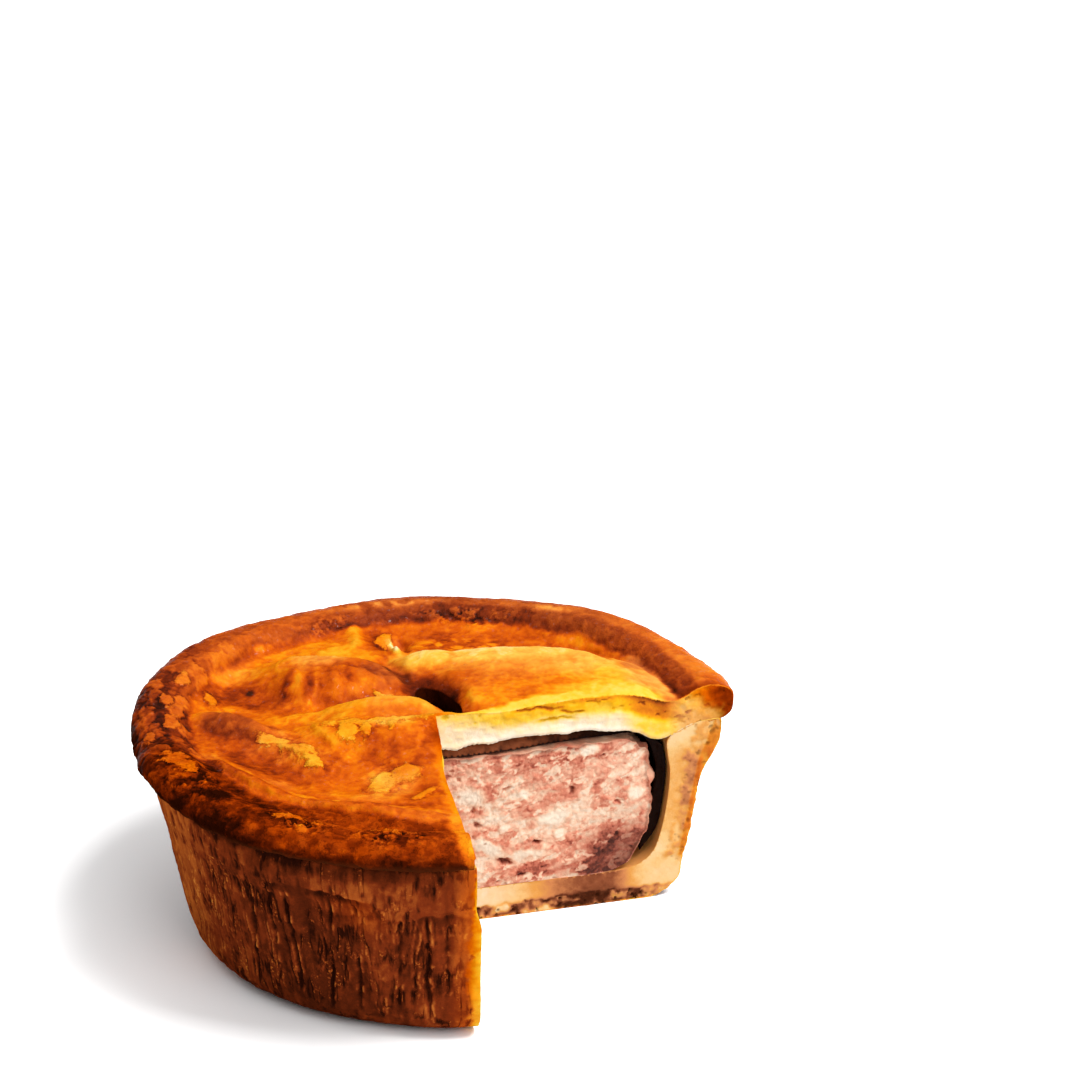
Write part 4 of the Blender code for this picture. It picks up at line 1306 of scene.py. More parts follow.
def dress_case_face(face):
    """Pale dough along the inside, and coarser and darker crumb towards the baked skin and the base."""
    s, z = face.place[:, 0], face.place[:, 1]
    flat = face.spread(13.0, 70.0)
    fine = layered(flat, 1.5, 411, 4)
    pores = smooth_step(0.30, 0.46, layered(flat, 1.2, 412, 3, 0.65))
    inner = np.interp(z, [7, 11, 15.5, 22, 30, 37, 42], [43, 47, 49, 50.3, 51, 50.2, 53])
    outer = np.interp(
        z, [0, 1.5, 3.8, 7.2, 15.5, 24, 33, 37, 42], [46, 50.6, 52.9, 54, 55.6, 57.2, 59, 61, 62.5]
    )
    across = to_unit((s - inner) / (outer - inner)) * smooth_step(FLOOR - 1.0, FLOOR + 2.0, z)
    down = fall_off(2.3, 3.1, z + 0.9 * fine) * fall_off(FLOOR, FLOOR + 2.0, z)
    coarse = to_unit(smooth_step(0.45, 0.75, across + 0.2 * fine) + down)
    grains = layered(flat, 2.2, 413, 3, 0.6)
    face.push(0.42 * fine * coarse + 0.5 * grains * down - 0.6 * pores * (down + 0.5 * coarse) + 0.10 * fine)
    skin = to_unit(smooth_step(0.93, 1.0, across + 0.05 * fine) + fall_off(0.0, 0.45, z))
    on_base = fall_off(FLOOR, FLOOR + 5.0, z)
    tone = 0.27 + 0.10 * across + 0.12 * coarse + 0.22 * fine * (0.3 + coarse) - 0.10 * on_base * (1.0 - down)
    tone = tone + down * (0.24 - 0.70 * grains) + 0.20 * smooth_step(10, 20, z) * fall_off(33, 38, z)
    # Painted shadow of the loose slice, which is not built here: the base's dough turns brown towards the
    # outside and the crumb below it darkens.
    slice_shadow_on_dough = 0.70 * smooth_step(8, 34, s) * (1.0 - 0.75 * smooth_step(38, 48, s))
    tone = tone + slice_shadow_on_dough * on_base * (1.0 - down)
    slice_shadow_on_crumb = smooth_step(24, 31, s) * (1.0 - 0.6 * smooth_step(36, 43, s)) * down
    tone = tone + 0.42 * slice_shadow_on_crumb + 0.25 * bell(z + 0.9 * fine, 2.9, 0.4) * on_base
    return {
        "bake": 0.42 + 0.16 * skin + 0.12 * fine,
        "dry": 1.0 - 0.6 * skin,
        "crumb": 1.0 - 0.7 * skin,
        "crumb_tone": to_unit(tone),
        "shade": to_unit(pores * (0.8 * down + 0.45 * coarse) + 0.15 * slice_shadow_on_crumb),
        "gloss": np.zeros(len(s)),
    }


# ---------------------------------------------------------------- pork and jelly

# distance from the apex, height, half length, half width, direction, paleness, steepness
FAT_PIECES = {
    "upper_right": (33.5, 37.3, 2.7, 1.3, 5, 1.0, 2.0), "middle": (26.0, 22.4, 4.2, 1.8, 6, 1.0, 2.0),
    "left": (7.2, 29.5, 2.4, 3.4, 78, 1.0, 1.5), "right": (44.5, 26.2, 2.0, 1.6, 25, 0.9, 2.0),
    "long_left": (11.2, 17.0, 4.2, 1.7, -32, 1.0, 2.0), "long_middle": (20.0, 14.6, 5.5, 1.1, 4, 0.85, 1.6),
    "small_left": (14.8, 20.8, 1.9, 1.1, 20, 0.9, 2.0), "small_middle": (27.2, 18.3, 1.7, 0.8, 8, 0.9, 2.0),
    "small_upper": (19.0, 28.7, 1.3, 1.0, 0, 0.9, 2.0),
    "pale_upper_left": (15.6, 36.6, 1.0, 2.4, 12, 0.6, 1.2),
    "pale_right": (41.0, 31.5, 3.8, 1.0, 32, 0.55, 1.2),
    "pale_right_low": (31.5, 25.5, 1.2, 3.0, -30, 0.6, 1.2),
    "pale_low_left": (9.0, 12.0, 1.8, 3.6, 10, 0.7, 1.2),
    "pale_middle_left": (12.0, 23.8, 5.5, 1.1, 6, 0.65, 1.2),
    "pale_left_top": (5.0, 34.0, 1.8, 1.4, 30, 0.6, 1.2), "pale_low": (27.0, 10.8, 4.0, 0.8, 12, 0.4, 1.2),
}
LEAN_PIECES = {
    "red_left": (12.4, 29.0, 1.7, 1.9, 0, 1.0, 2.0), "red_upper": (29.0, 36.8, 2.8, 1.6, 30, 0.7, 1.3),
    "red_upper_right": (37.8, 38.2, 2.2, 1.6, 20, 0.8, 1.5),
    "red_upper_middle": (20.0, 34.5, 4.0, 2.2, 15, 0.6, 1.3),
    "red_corner": (45.5, 29.5, 1.8, 0.9, -40, 0.8, 1.5),
    "pink_middle": (24.0, 31.0, 4.5, 2.0, 12, 0.5, 1.2), "red_low": (24.0, 10.0, 8.0, 1.8, 4, 0.9, 1.3),
    "red_low_right": (35.0, 13.5, 5.0, 2.4, 25, 0.9, 1.3),
}
MEAT_PITS = {
    "low_left": (14.8, 13.4, 1.7, 0.6, -25, 1.0, 1.5), "low_middle": (22.2, 17.3, 0.9, 0.5, 0, 1.0, 1.5),
    "middle": (29.8, 28.6, 0.6, 0.9, 20, 0.8, 1.5), "left": (8.8, 22.6, 1.3, 0.4, -25, 0.8, 1.5),
    "left_upper": (8.0, 26.6, 0.4, 0.8, 20, 0.6, 1.5), "low_row": (19.0, 9.6, 1.3, 0.3, 5, 0.8, 1.5),
    "low_right": (43.4, 12.6, 0.8, 0.3, -30, 0.7, 1.5),
}
MINCE_SLANT = math.radians(16.0)


def pieces_at(s, z, pieces, seed):
    """The strongest of some pieces at each place, with uneven outlines."""
    frayed = warped(np.stack([s, z], axis=-1), 1.6, 0.8, seed)
    return strongest(frayed[:, 0], frayed[:, 1], pieces)


def dress_meat_face(face):
    """Coarse mince, pressed in slanting layers: lean and fat with soft borders, pits and a ragged edge."""
    s, z = face.place[:, 0], face.place[:, 1]
    flat = face.spread(23.0, 53.0)
    level = s * math.cos(MINCE_SLANT) + z * math.sin(MINCE_SLANT)
    rise = z * math.cos(MINCE_SLANT) - s * math.sin(MINCE_SLANT)
    drawn = warped(np.stack([0.55 * level, rise, flat[:, 2]], axis=-1), 3.5, 1.5, 500)
    coarse = layered(drawn, 3.8, 501, 4, 0.6)
    blotches = smooth_step(-0.06, 0.08, layered(drawn, 2.6, 502, 3, 0.6))
    flecks = smooth_step(0.26, 0.36, layered(warped(drawn, 1.5, 0.8, 503), 1.7, 504, 3, 0.6))
    bits = smooth_step(0.30, 0.40, layered(warped(drawn, 1.5, 0.8, 505), 2.1, 506, 3, 0.6))
    near, second, own = scattered_cells(warped(flat, 1.0, 0.8, 510), 1.5, 511)
    fibres = layered(flat * np.array([0.5, 1.0, 1.0]), 1.1, 512, 4, 0.6)
    fine = layered(flat, 0.8, 513, 3, 0.6)
    joints = fall_off(0.0, 0.16, second - near)
    pits = smooth_step(0.50, 0.66, layered(drawn, 1.2, 514, 2))
    pits = pits * smooth_step(-0.1, 0.3, noise(flat, 5.0, 515))

    if face.side == "a":
        fat = pieces_at(s, z, FAT_PIECES, 520)
        lean = pieces_at(s, z, LEAN_PIECES, 530)
        holes = pieces_at(s, z, MEAT_PITS, 540)
    else:
        fat = smooth_step(0.42, 0.50, layered(drawn, 4.0, 521, 3))
        lean = smooth_step(0.35, 0.50, layered(drawn, 4.0, 531, 3))
        holes = smooth_step(0.62, 0.72, layered(drawn, 3.0, 541, 2))

    # Darker meat at the lower right, deepened by painted shadow of the loose slice, which is not built here.
    dark = 1.15 * np.exp(-(((s - 43.0) / 9.0) ** 2 + ((z - 11.5) / 7.0) ** 2))
    wide = layered(drawn, 9.0, 507, 2)
    tone = 0.455 + 0.14 * wide + 0.22 * coarse + 0.16 * (blotches - 0.5) + 0.12 * (own - 0.5) + 0.18 * fibres
    tone = tone + 0.12 * fine
    tone = tone + 0.15 * bits + 0.05 * joints + 0.18 * lean + 0.05 * smooth_step(30, 36, z)
    tone = tone - 0.07 * np.exp(-(((s - 12.0) / 14.0) ** 2 + ((z - 20.0) / 9.0) ** 2))
    tone = tone * (1.0 - 0.75 * flecks) + 0.14 * 0.75 * flecks
    tone = tone * (1.0 - fat) + (0.05 + 0.06 * fine) * fat
    # Holes and pits are also darkened: painted shade in them.
    tone = tone + 0.34 * dark + 0.5 * holes + 0.30 * pits
    ragged = fall_off(0.0, 1.2, face.edge) * smooth_step(9, 12, z)
    relief = 0.45 * coarse + 0.25 * (0.5 - near) * (1.0 - fat) + 0.12 * fine + 0.25 * fibres
    relief = relief - 0.15 * joints - 1.1 * holes - 0.5 * pits - 0.9 * ragged * (0.5 + fibres) + 0.15 * fat
    face.push(relief, border=0.6)
    film = fall_off(-0.3, 0.5, face.roof - z - 0.8 - 1.2 * fibres) * fall_off(30, 36, s)
    shaded = 0.55 * dark + 0.35 * film + 0.35 * ragged * smooth_step(34, 46, s) + 0.4 * holes
    return {
        "tone": to_unit(tone),
        "shade": to_unit(shaded + 0.25 * smooth_step(20, 40, s) * fall_off(9, 12, z)),
        "wet": to_unit(0.5 + 0.5 * fibres),
    }


def dress_jelly_face(face):
    """Jelly paler where thin, near the apex; darker outwards, partly painted shade of the gap it sits in."""
    s = face.place[:, 0]
    fine = layered(face.spread(33.0, 33.0), 1.6, 601, 3)
    face.push(-0.3 + 0.5 * fine)
    pale = fall_off(10, 42, s)
    tone = 0.12 + 0.3 * fall_off(34, 42, s) + 0.6 * pale + 0.5 * fine * pale
    return {"tone": to_unit(tone)}


def drawn_back(parts, side, amount_at, reach):
    """A piece's parts with its end at a cut drawn back into the pie, and what lies behind it squeezed."""
    moved_parts = []
    for points, *rest in parts:
        s = outwards(side, points[:, 0], points[:, 1])
        share = to_unit(1.0 - behind(side, points[:, 0], points[:, 1]) / reach) ** 2
        amount = amount_at(s, points[:, 2]) * share * smooth_step(-1.0, 0.5, s)
        moved = points.copy()
        moved[:, :2] -= amount[:, None] * cut_normal(side)
        moved_parts.append((moved, *rest))
    return moved_parts


# ---------------------------------------------------------------- materials


# the studio is so bright that the floor turns white, and what lies on it gives back this share of the
# light (moist crumb a little more)
DULLING = 0.60
CRUMB_DULLING = 0.62


def linear(*colour):
    """A colour given from 0 to 255 as it is seen, as the light that it stands for."""
    shares = [value / 255.0 for value in colour]
    return [share / 12.92 if share <= 0.04045 else ((share + 0.055) / 1.055) ** 2.4 for share in shares]


class Look:
    """A node material, with short ways to add its nodes."""

    def __init__(self, name):
        self.material = bpy.data.materials.new(name)
        self.material.use_nodes = True
        self.nodes = self.material.node_tree.nodes
        self.links = self.material.node_tree.links
        self.shader = self.nodes["Principled BSDF"]

    def join(self, source, target):
        self.links.new(source, target)

    def number(self, name):
        node = self.nodes.new("ShaderNodeAttribute")
        node.attribute_name = name
        return node.outputs["Fac"]

    def math(self, operation, *inputs, clamp=False):
        node = self.nodes.new("ShaderNodeMath")
        node.operation = operation
        node.use_clamp = clamp
        for slot, value in zip(node.inputs, inputs):
            if isinstance(value, (int, float)):
                slot.default_value = value
            else:
                self.join(value, slot)
        return node.outputs["Value"]

    def noise(self, size, detail=4.0, roughness=0.6, stretch=(1, 1, 1)):
        place = self.nodes.new("ShaderNodeTexCoord")
        scale = self.nodes.new("ShaderNodeMapping")
        scale.inputs["Scale"].default_value = [1.0 / (size * MM * k) for k in stretch]
        self.join(place.outputs["Object"], scale.inputs["Vector"])
        node = self.nodes.new("ShaderNodeTexNoise")
        node.inputs["Scale"].default_value = 1.0
        node.inputs["Detail"].default_value = detail
        node.inputs["Roughness"].default_value = roughness
        self.join(scale.outputs["Vector"], node.inputs["Vector"])
        return node.outputs["Fac"]

    def around(self, noise, amount):
        """Noise as a shift of this size to either side."""
        return self.math("MULTIPLY", self.math("SUBTRACT", noise, 0.5), amount)

    def total(self, *numbers):
        last = numbers[0]
        for number in numbers[1:-1]:
            last = self.math("ADD", last, number)
        return self.math("ADD", last, numbers[-1], clamp=True)

    def ramp(self, factor, stops, share=DULLING):
        node = self.nodes.new("ShaderNodeValToRGB")
        elements = node.color_ramp.elements
        while len(elements) < len(stops):
            elements.new(0.5)
        for element, (place, _) in zip(elements, stops):
            element.position = place
        for element, (_, colour) in zip(elements, stops):
            element.color = [*(share * value for value in linear(*colour)), 1.0]
        self.join(factor, node.inputs["Fac"])
        return node.outputs["Color"]

    def mix(self, factor, first, second):
        node = self.nodes.new("ShaderNodeMix")
        node.data_type = "RGBA"
        node.clamp_factor = True
        for socket, value in ((node.inputs[0], factor), (node.inputs[6], first), (node.inputs[7], second)):
            if isinstance(value, (int, float)):
                socket.default_value = value
            elif isinstance(value, (list, tuple)):
                socket.default_value = (*value, 1.0)
            else:
                self.join(value, socket)
        return node.outputs[2]

    def times(self, first, second):
        return self.math("MULTIPLY", first, second)

    def plus(self, first, second):
        return self.math("ADD", first, second)

    def sharpened(self, noise, level, steepness):
        """1 where the noise is above a level and 0 below it, with a short slope between them."""
        return self.math("MULTIPLY_ADD", noise, steepness, 0.5 - steepness * level, clamp=True)

    def bump(self, height, distance, strength):
        node = self.nodes.new("ShaderNodeBump")
        node.inputs["Distance"].default_value = distance * MM
        node.inputs["Strength"].default_value = strength
        self.join(height, node.inputs["Height"])
        self.join(node.outputs["Normal"], self.shader.inputs["Normal"])

    def set(self, **values):
        for name, value in values.items():
            self.shader.inputs[name.replace("_", " ")].default_value = value


# colours from pale to nearly burnt
GLAZED = [
    (0.0, (255, 228, 150)), (0.10, (255, 208, 84)), (0.20, (252, 190, 40)), (0.30, (248, 165, 25)),
    (0.40, (242, 142, 8)), (0.50, (229, 112, 3)), (0.60, (209, 88, 2)), (0.70, (177, 64, 2)),
    (0.80, (134, 42, 2)), (0.90, (88, 24, 2)), (1.0, (42, 11, 2)),
]
DRY = [
    (0.0, (255, 236, 190)), (0.2, (253, 192, 100)), (0.4, (240, 155, 66)), (0.6, (210, 115, 48)),
    (0.8, (140, 58, 26)), (0.9, (98, 40, 18)), (1.0, (52, 20, 10)),
]
# crumb from white dough over yellow crumb to brown, and the same as drier, tanner dough
CRUMB = [
    (0.0, (255, 242, 222)), (0.15, (255, 230, 188)), (0.30, (254, 216, 136)), (0.45, (254, 206, 70)),
    (0.60, (252, 184, 26)), (0.75, (238, 142, 28)), (0.88, (196, 98, 28)), (1.0, (90, 40, 16)),
]
TAN = [
    (0.0, (255, 240, 216)), (0.2, (252, 220, 174)), (0.4, (247, 200, 132)), (0.55, (236, 166, 84)),
    (0.7, (214, 138, 86)), (0.85, (150, 84, 54)), (1.0, (76, 36, 20)),
]
PORK = [
    (0.0, (255, 242, 220)), (0.14, (255, 230, 204)), (0.30, (252, 208, 176)), (0.45, (243, 178, 146)),
    (0.60, (226, 142, 112)), (0.75, (198, 106, 82)), (0.88, (140, 64, 46)), (1.0, (62, 24, 16)),
]
JELLY = [(0.0, (18, 5, 2)), (0.5, (46, 20, 9)), (1.0, (150, 82, 50))]
CRUST_SHADE = (70, 30, 12)
PORK_SHADE = (96, 44, 30)


def shaded(colour):
    """A single colour, dulled like those of the ramps."""
    return [DULLING * value for value in linear(*colour)]


def upright_cracks(look, specks):
    """(1 in thin upright cracks, 1 on the loose crumbs beside them), where the piece is cracked."""
    field = look.noise(2.4, 3.0, 0.5, (1, 1, 8))
    broken = look.math("MULTIPLY_ADD", look.noise(7.0, 3.0), 9.0, -4.1, clamp=True)
    broken = look.times(broken, look.number("cracked"))
    off = look.math("ABSOLUTE", look.math("SUBTRACT", field, 0.5))
    crack = look.times(look.math("MULTIPLY_ADD", off, -16.0, 1.0, clamp=True), broken)
    off = look.math("ABSOLUTE", look.math("SUBTRACT", field, 0.58))
    crumbs = look.times(look.math("MULTIPLY_ADD", off, -20.0, 1.0, clamp=True), broken)
    sparse = look.math("MULTIPLY_ADD", specks, 9.0, -4.6, clamp=True)
    return crack, look.times(crumbs, sparse)


def pastry_look(name, gloss, mottling, cracked=False):
    look = Look(name)
    mottle = look.noise(1.6, 5.0, 0.65)
    specks = look.noise(0.35, 3.0, 0.7)
    height = look.plus(mottle, look.times(specks, 0.35))
    bake = look.total(look.number("bake"), look.around(mottle, mottling), look.around(specks, 0.10))
    flakes = look.noise(3.2, 7.0, 0.62)
    steps = look.plus(look.sharpened(flakes, 0.46, 30.0), look.sharpened(flakes, 0.56, 30.0))
    steps = look.times(look.math("SUBTRACT", steps, 1.0), look.number("flaking"))
    bake = look.total(bake, look.times(steps, -0.12))
    height = look.plus(height, look.times(steps, 1.2))
    edge = look.plus(look.number("leaf"), look.around(look.noise(2.2, 6.0, 0.68), 1.9))
    on_leaf = look.sharpened(edge, 0.5, 6.0)
    # A thin dark line round each leaf: painted shadow under its edge.
    leaf_edge_shadow = look.math("SUBTRACT", look.sharpened(edge, 0.36, 6.0), on_leaf, clamp=True)
    leaf_edge_shadow = look.times(leaf_edge_shadow, look.sharpened(look.number("leaf"), 0.3, 5.0))
    patchy = look.math("MULTIPLY_ADD", look.noise(1.5, 5.0, 0.7, (1.6, 0.7, 1.0)), 3.0, -0.8, clamp=True)
    on_leaf = look.times(on_leaf, look.math("MULTIPLY_ADD", patchy, 0.7, 0.3))
    towards_leaf = look.times(on_leaf, look.math("SUBTRACT", look.number("leaf_bake"), bake))
    bake = look.total(bake, look.times(towards_leaf, 0.9), look.times(leaf_edge_shadow, 0.12))
    height = look.plus(height, on_leaf)
    if cracked:
        crack, crumbs = upright_cracks(look, look.noise(0.6, 2.0, 0.6))
        # Thin cracks are darkened as painted shade; the crumbs beside them are paler, partly as painted
        # highlight.
        bake = look.total(bake, look.times(crack, 0.15), look.times(crumbs, -0.30))
        height = look.plus(height, look.math("MULTIPLY_ADD", crack, -1.6, crumbs))
    crust = look.mix(look.number("dry"), look.ramp(bake, GLAZED), look.ramp(bake, DRY))
    tone = look.total(look.number("crumb_tone"), look.around(mottle, 0.18), look.around(specks, 0.08))
    crumb = look.mix(look.number("dry"), look.ramp(tone, CRUMB, CRUMB_DULLING), look.ramp(tone, TAN))
    colour = look.mix(look.number("crumb"), crust, crumb)
    colour = look.mix(look.number("shade"), colour, shaded(CRUST_SHADE))
    look.join(colour, look.shader.inputs["Base Color"])
    rough = look.math("MULTIPLY_ADD", look.number("crumb"), 0.38, 0.36)
    glints = look.times(look.sharpened(look.noise(1.1, 3.0, 0.6), 0.66, 14.0), look.number("gloss"))
    glints = look.times(glints, 12.0 * gloss)
    rough = look.plus(rough, look.math("MULTIPLY_ADD", glints, -0.5, look.around(specks, 0.25)))
    look.join(rough, look.shader.inputs["Roughness"])
    shine = look.math("MULTIPLY_ADD", look.number("gloss"), gloss, glints)
    look.join(shine, look.shader.inputs["Specular IOR Level"])
    look.bump(height, 0.22, 0.8)
    return look.material


def pork_look():
    look = Look("minced_pork")
    mottle = look.noise(0.9, 5.0, 0.7)
    specks = look.noise(0.25, 3.0, 0.7)
    tone = look.total(look.number("tone"), look.around(mottle, 0.30), look.around(specks, 0.16))
    colour = look.mix(look.number("shade"), look.ramp(tone, PORK), shaded(PORK_SHADE))
    look.join(colour, look.shader.inputs["Base Color"])
    look.join(look.math("MULTIPLY_ADD", look.number("wet"), -0.25, 0.65), look.shader.inputs["Roughness"])
    look.set(Specular_IOR_Level=0.12)
    look.bump(look.plus(mottle, look.times(specks, 0.4)), 0.22, 0.8)
    return look.material


def jelly_look():
    look = Look("jelly")
    mottle = look.noise(1.2, 4.0, 0.6)
    tone = look.total(look.number("tone"), look.around(mottle, 0.3))
    look.join(look.ramp(tone, JELLY), look.shader.inputs["Base Color"])
    look.join(look.math("MULTIPLY_ADD", mottle, 0.2, 0.15), look.shader.inputs["Roughness"])
    look.set(Specular_IOR_Level=0.02)
    look.bump(mottle, 0.5, 0.7)
    return look.material


# ---------------------------------------------------------------- the pieces


def plain_part(points, triangles, group, **values):
    """A part for make_piece from numbers that are mostly the same all over."""
    return points, triangles, {key: np.full(len(points), value) for key, value in values.items()}, group


def cut_parts(upper, lower, spacing, dress):
    """The parts for make_piece that close a piece at its two cuts."""
    faces = [CutFace(side, upper, lower, spacing) for side in ("a", "b")]
    numbers = [dress(face) for face in faces]
    return [(face.points, face.triangles, own, 2) for face, own in zip(faces, numbers)]


def spacing(knots):
    """The distance between points as a function of the place along an outline."""
    places, values = zip(*knots)
    return lambda along: float(np.interp(along, places, values))


def hole_wall(upper, lower):
    """The inside of the steam hole, between its loop on the lid's top and the one on the underside."""
    rows = 14
    top = upper.points[upper.row_hole]
    bottom = lower.points[lower.row_hole]
    count = len(top)
    points = []
    for share in np.linspace(0.0, 1.0, rows + 1):
        ring = top + (bottom - top) * share
        bulge = math.sin(math.pi * share)
        middle = ring[:, :2].mean(axis=0)
        ring[:, :2] += (middle - ring[:, :2]) * 0.10 * bulge
        if 0.0 < share < 1.0:
            ring[:, :2] += 0.25 * bulge * layered(ring, 1.5, 450, 3)[:, None]
        points.append(ring)
    triangles = []
    for row in range(rows):
        for k in range(count):
            a, b = row * count + k, row * count + (k + 1) % count
            c, d = a + count, b + count
            triangles += [(a, b, d), (a, d, c)]
    return np.concatenate(points), np.array(triangles)


def lid_edge_back(s, z):
    """How far the lid's edge stands back at the cut on the right."""
    return 1.2 * smooth_step(4, 20, s)


def case_edge_back(s, z):
    """The same for the foot of the wall, which reaches a little past the cut."""
    return -1.3 * smooth_step(40, 48, s) * fall_off(26, 33, z)


def jelly_back(s, z):
    """How far the jelly stands back from a cut: little over the pork near the apex, more at the outside."""
    return 0.5 + 1.9 * smooth_step(10, 36, s) + 1.0 * smooth_step(MEAT_TOP + 1.2, MEAT_TOP + 2.4, z)


# (place along the outline, distance between points there)
LID_TOP_SPACING = [(0, 0.5), (40, 0.5), (46, 0.47), (70, 0.47), (74, 0.9), (76, 1.2)]
LID_BELOW_SPACING = [(0, 1.0), (40, 0.9), (60, 1.1)]
CASE_OUTSIDE_SPACING = [(0, 2.0), (38, 1.6), (44, 0.72), (50, 0.502), (92, 0.502), (97, 1.0)]
CASE_INSIDE_SPACING = [(0, 2.0), (38, 1.5), (60, 1.0), (80, 1.0)]
JELLY_SPACING = [(0, 1.2), (90, 1.2)]
MEAT_OUTSIDE_SPACING = [(0, 1.4), (30, 0.9), (90, 0.8)]
MEAT_EDGE_SPACING = [(0, 0.7), (30, 0.45), (90, 0.45)]
MEAT_BELOW_SPACING = [(0, 2.0), (90, 1.6)]
# distance between the points of a sheet's outer ring, of the steam hole's loop and of each cut face
PASTRY_RING = 1.3
FILLING_RING = 1.2
HOLE_LOOP = 0.45
LID_FACE, CASE_FACE, JELLY_FACE, MEAT_FACE = 0.33, 0.41, 0.45, 0.28
# how deep a drawn-back edge is squeezed
PASTRY_SQUEEZE = 4.0
JELLY_SQUEEZE = 8.0


def make_lid(look):
    top = Sheet(
        Outline(LID_TOP, RIM - 22), spacing(LID_TOP_SPACING), PASTRY_RING, hole=(HOLE, HOLE_TOP, HOLE_LOOP)
    )
    below = Sheet(
        Outline(LID_BELOW, 42), spacing(LID_BELOW_SPACING), PASTRY_RING,
        hole=(HOLE, HOLE_BOTTOM, HOLE_LOOP * HOLE_BOTTOM.max() / HOLE_TOP.max()), upward=False,
    )
    shape_lid(top)
    shape_lid(below)
    roll_dough(below)
    numbers = dress_lid_top(top)
    parts = [
        (top.points, top.triangles, numbers, 0),
        plain_part(
            below.points, below.triangles, 1, bake=0.2, dry=1, crumb=1, crumb_tone=0.08, shade=0, gloss=0
        ),
        *cut_parts(top, below, LID_FACE, dress_lid_face),
        # The steam hole's wall is near black: painted shade in the hole.
        plain_part(*hole_wall(top, below), 0, bake=1, dry=0, crumb=0, crumb_tone=0, shade=0, gloss=0),
    ]
    parts = drawn_back(parts, "b", lid_edge_back, PASTRY_SQUEEZE)
    make_piece("lid", parts, look, "pastry_lid")


def make_case(look):
    outside = Sheet(Outline(CASE_OUTSIDE, 40), spacing(CASE_OUTSIDE_SPACING), PASTRY_RING, upward=False)
    inside = Sheet(Outline(CASE_INSIDE, 36), spacing(CASE_INSIDE_SPACING), PASTRY_RING)
    shape_case(outside)
    numbers = dress_case_outside(outside)
    outside.points = eased(outside.points)
    outside.points[:, 2] = np.maximum(outside.points[:, 2], BOTTOM)
    parts = [
        (outside.points, outside.triangles, numbers, 0),
        plain_part(
            inside.points, inside.triangles, 1, bake=0.3, dry=1, crumb=1, crumb_tone=0.6, shade=0, gloss=0
        ),
        *cut_parts(inside, outside, CASE_FACE, dress_case_face),
    ]
    parts = drawn_back(parts, "b", case_edge_back, PASTRY_SQUEEZE)
    make_piece("case", parts, look, "pastry_case")


def make_jelly(look):
    outside = Sheet(Outline(JELLY_OUTSIDE, 36), spacing(JELLY_SPACING), FILLING_RING)
    inside = Sheet(Outline(JELLY_INSIDE, 36), spacing(JELLY_SPACING), FILLING_RING, upward=False)
    for sheet in (outside, inside):
        x, y, z = sheet.points.T
        sunk = sinking(lid_relief(x, y), np.hypot(x, y))
        sheet.points[:, 2] += np.where(z > MEAT_TOP + 0.9, np.maximum(sunk, MEAT_TOP + 0.5 - z), 0.0)
    parts = [
        plain_part(outside.points, outside.triangles, 0, tone=0.1),
        plain_part(inside.points, inside.triangles, 1, tone=0.1),
        *cut_parts(outside, inside, JELLY_FACE, dress_jelly_face),
    ]
    for side in ("a", "b"):
        parts = drawn_back(parts, side, jelly_back, JELLY_SQUEEZE)
    make_piece("jelly_layer", parts, look, "jelly")


def make_meat(look):
    outside = Sheet(
        Outline(MEAT_OUTSIDE, 36), spacing(MEAT_OUTSIDE_SPACING), FILLING_RING,
        row_spacing=spacing(MEAT_EDGE_SPACING),
    )
    below = Sheet(Outline(MEAT_BELOW, 36), spacing(MEAT_BELOW_SPACING), FILLING_RING, upward=False)
    x, y, z = outside.points.T
    edge = clearance(x, y)
    loose = smooth_step(38, 44, np.hypot(x, y)) * smooth_step(22, 28, z) * fall_off(6, 14, edge)
    uneven = (0.3 + 0.6 * fall_off(3, 8, edge)) * layered(outside.points, 3.0, 550, 4) - 0.3
    uneven = uneven + loose * (3.0 * layered(outside.points, 3.6, 552, 3, 0.45) - 0.8)
    end = outside.outline.along[-1]
    outside.push(uneven * fall_off(end - 2.0, end - 0.3, outside.along))
    parts = []
    for sheet, group in ((outside, 0), (below, 1)):
        tone = 0.5 + 0.3 * layered(sheet.points, 3.0, 551, 3)
        parts.append(plain_part(sheet.points, sheet.triangles, group, tone=tone, shade=0, wet=0))
    parts += cut_parts(outside, below, MEAT_FACE, dress_meat_face)
    make_piece("pork", parts, look, "pork_filling")


# ---------------------------------------------------------------- floor, light and camera


FLOOR_REACH = 6.0
LIGHT_TARGET = (0.0, 0.0, 25 * MM)
# place, width and height, power in watts: a soft key from the right and behind, a fill from the front right
LIGHTS = {
    "key": ((0.50, -0.16, 1.05), 0.5, 16.5),
    "fill": ((0.6, -0.9, 0.7), 0.8, 6.6),
}
STUDIO_STRENGTH = 1.25
STUDIO_DARK, STUDIO_BRIGHT = (0.35, 0.03), (0.8, 1.0)  # (share of the way up, brightness)
CAMERA_PLACE = (22.0 * MM, -675.8 * MM, 361.1 * MM)
CAMERA_TILT = 22.02  # degrees below level
FOCAL_LENGTH = 3500.0 / 1080.0  # in widths of the picture
SENSOR_WIDTH = 36.0


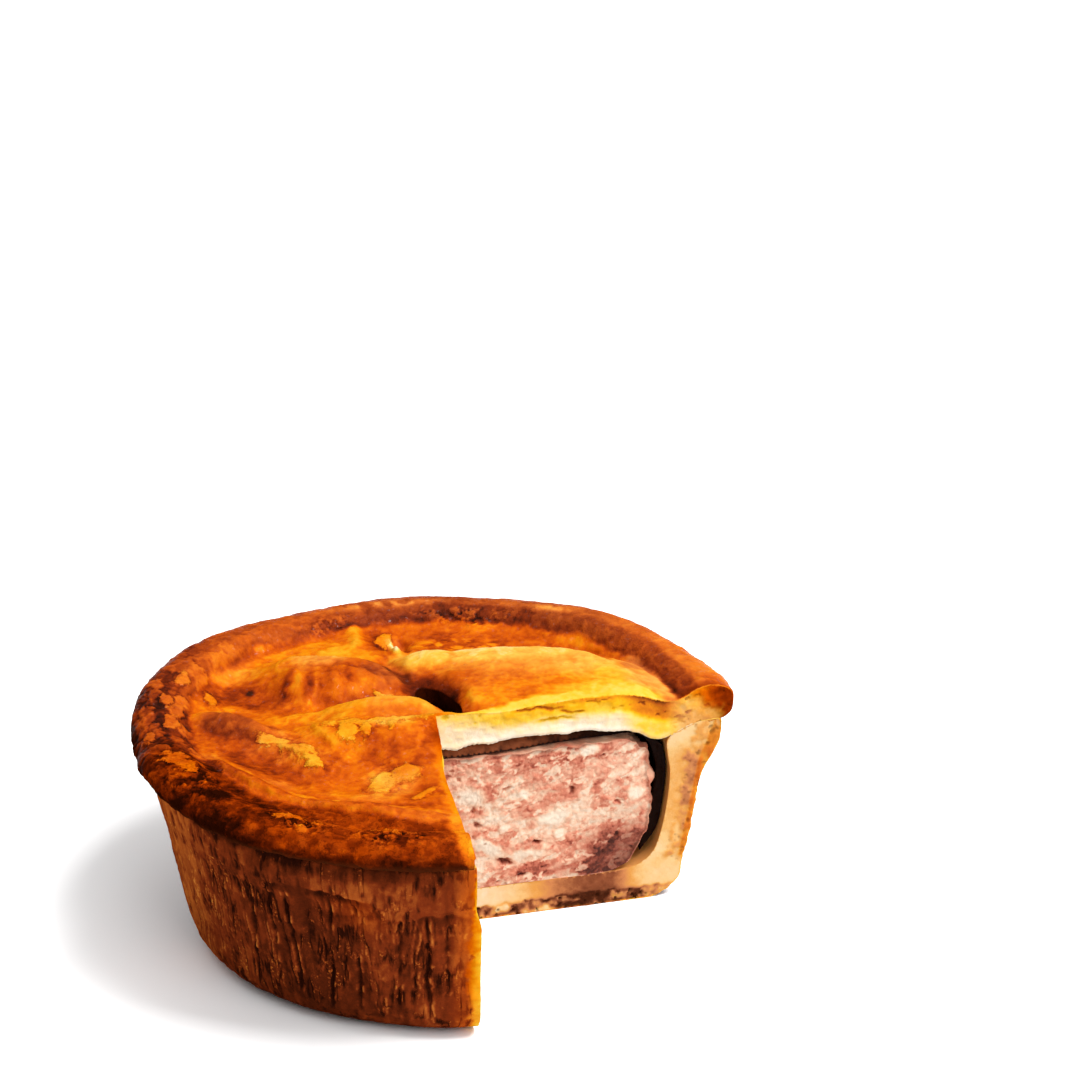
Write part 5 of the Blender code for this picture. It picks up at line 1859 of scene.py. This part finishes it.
def make_floor():
    low, high = -FLOOR_REACH, FLOOR_REACH
    mesh = bpy.data.meshes.new("floor")
    places = [(low, low, 0), (high, low, 0), (high, high, 0), (low, high, 0)]
    mesh.from_pydata(places, [], [(0, 1, 2, 3)])
    floor = bpy.data.objects.new("floor", mesh)
    bpy.context.scene.collection.objects.link(floor)
    look = Look("floor")
    tint = look.ramp(look.noise(400.0, 2.0), [(0.0, (255, 255, 255)), (1.0, (251, 251, 251))], 1.0)
    look.join(tint, look.shader.inputs["Base Color"])
    look.set(Roughness=0.9, Specular_IOR_Level=0.0)
    mesh.materials.append(look.material)


def area_light(name, place, size, power):
    data = bpy.data.lights.new(name, "AREA")
    data.shape = "RECTANGLE"
    data.size = data.size_y = size
    data.energy = power
    light = bpy.data.objects.new(name, data)
    light.location = place
    light.rotation_euler = (Vector(LIGHT_TARGET) - Vector(place)).to_track_quat("-Z", "Y").to_euler()
    bpy.context.scene.collection.objects.link(light)


def make_light():
    """A studio that is bright overhead and dark near the horizon, and the two lights."""
    world = bpy.data.worlds.new("studio")
    world.use_nodes = True
    nodes, links = world.node_tree.nodes, world.node_tree.links
    place = nodes.new("ShaderNodeTexCoord")
    split = nodes.new("ShaderNodeSeparateXYZ")
    ramp = nodes.new("ShaderNodeValToRGB")
    for element, (position, brightness) in zip(ramp.color_ramp.elements, (STUDIO_DARK, STUDIO_BRIGHT)):
        element.position = position
        element.color = (brightness, brightness, brightness, 1.0)
    links.new(place.outputs["Generated"], split.inputs["Vector"])
    links.new(split.outputs["Z"], ramp.inputs["Fac"])
    links.new(ramp.outputs["Color"], nodes["Background"].inputs["Color"])
    nodes["Background"].inputs["Strength"].default_value = STUDIO_STRENGTH
    bpy.context.scene.world = world
    for name, (place, size, power) in LIGHTS.items():
        area_light(name, place, size, power)
    bpy.context.scene.view_settings.view_transform = "Standard"
    bpy.context.scene.view_settings.look = "None"


def make_camera():
    data = bpy.data.cameras.new("camera")
    data.lens = FOCAL_LENGTH * SENSOR_WIDTH
    data.sensor_width = SENSOR_WIDTH
    camera = bpy.data.objects.new("camera", data)
    camera.location = CAMERA_PLACE
    camera.rotation_euler = (math.radians(90.0 - CAMERA_TILT), 0.0, 0.0)
    bpy.context.scene.collection.objects.link(camera)
    bpy.context.scene.camera = camera


make_lid(pastry_look("glazed_pastry", 0.022, 0.11))
make_case(pastry_look("baked_pastry", 0.0, 0.12, cracked=True))
make_jelly(jelly_look())
make_meat(pork_look())
make_floor()
make_light()
make_camera()
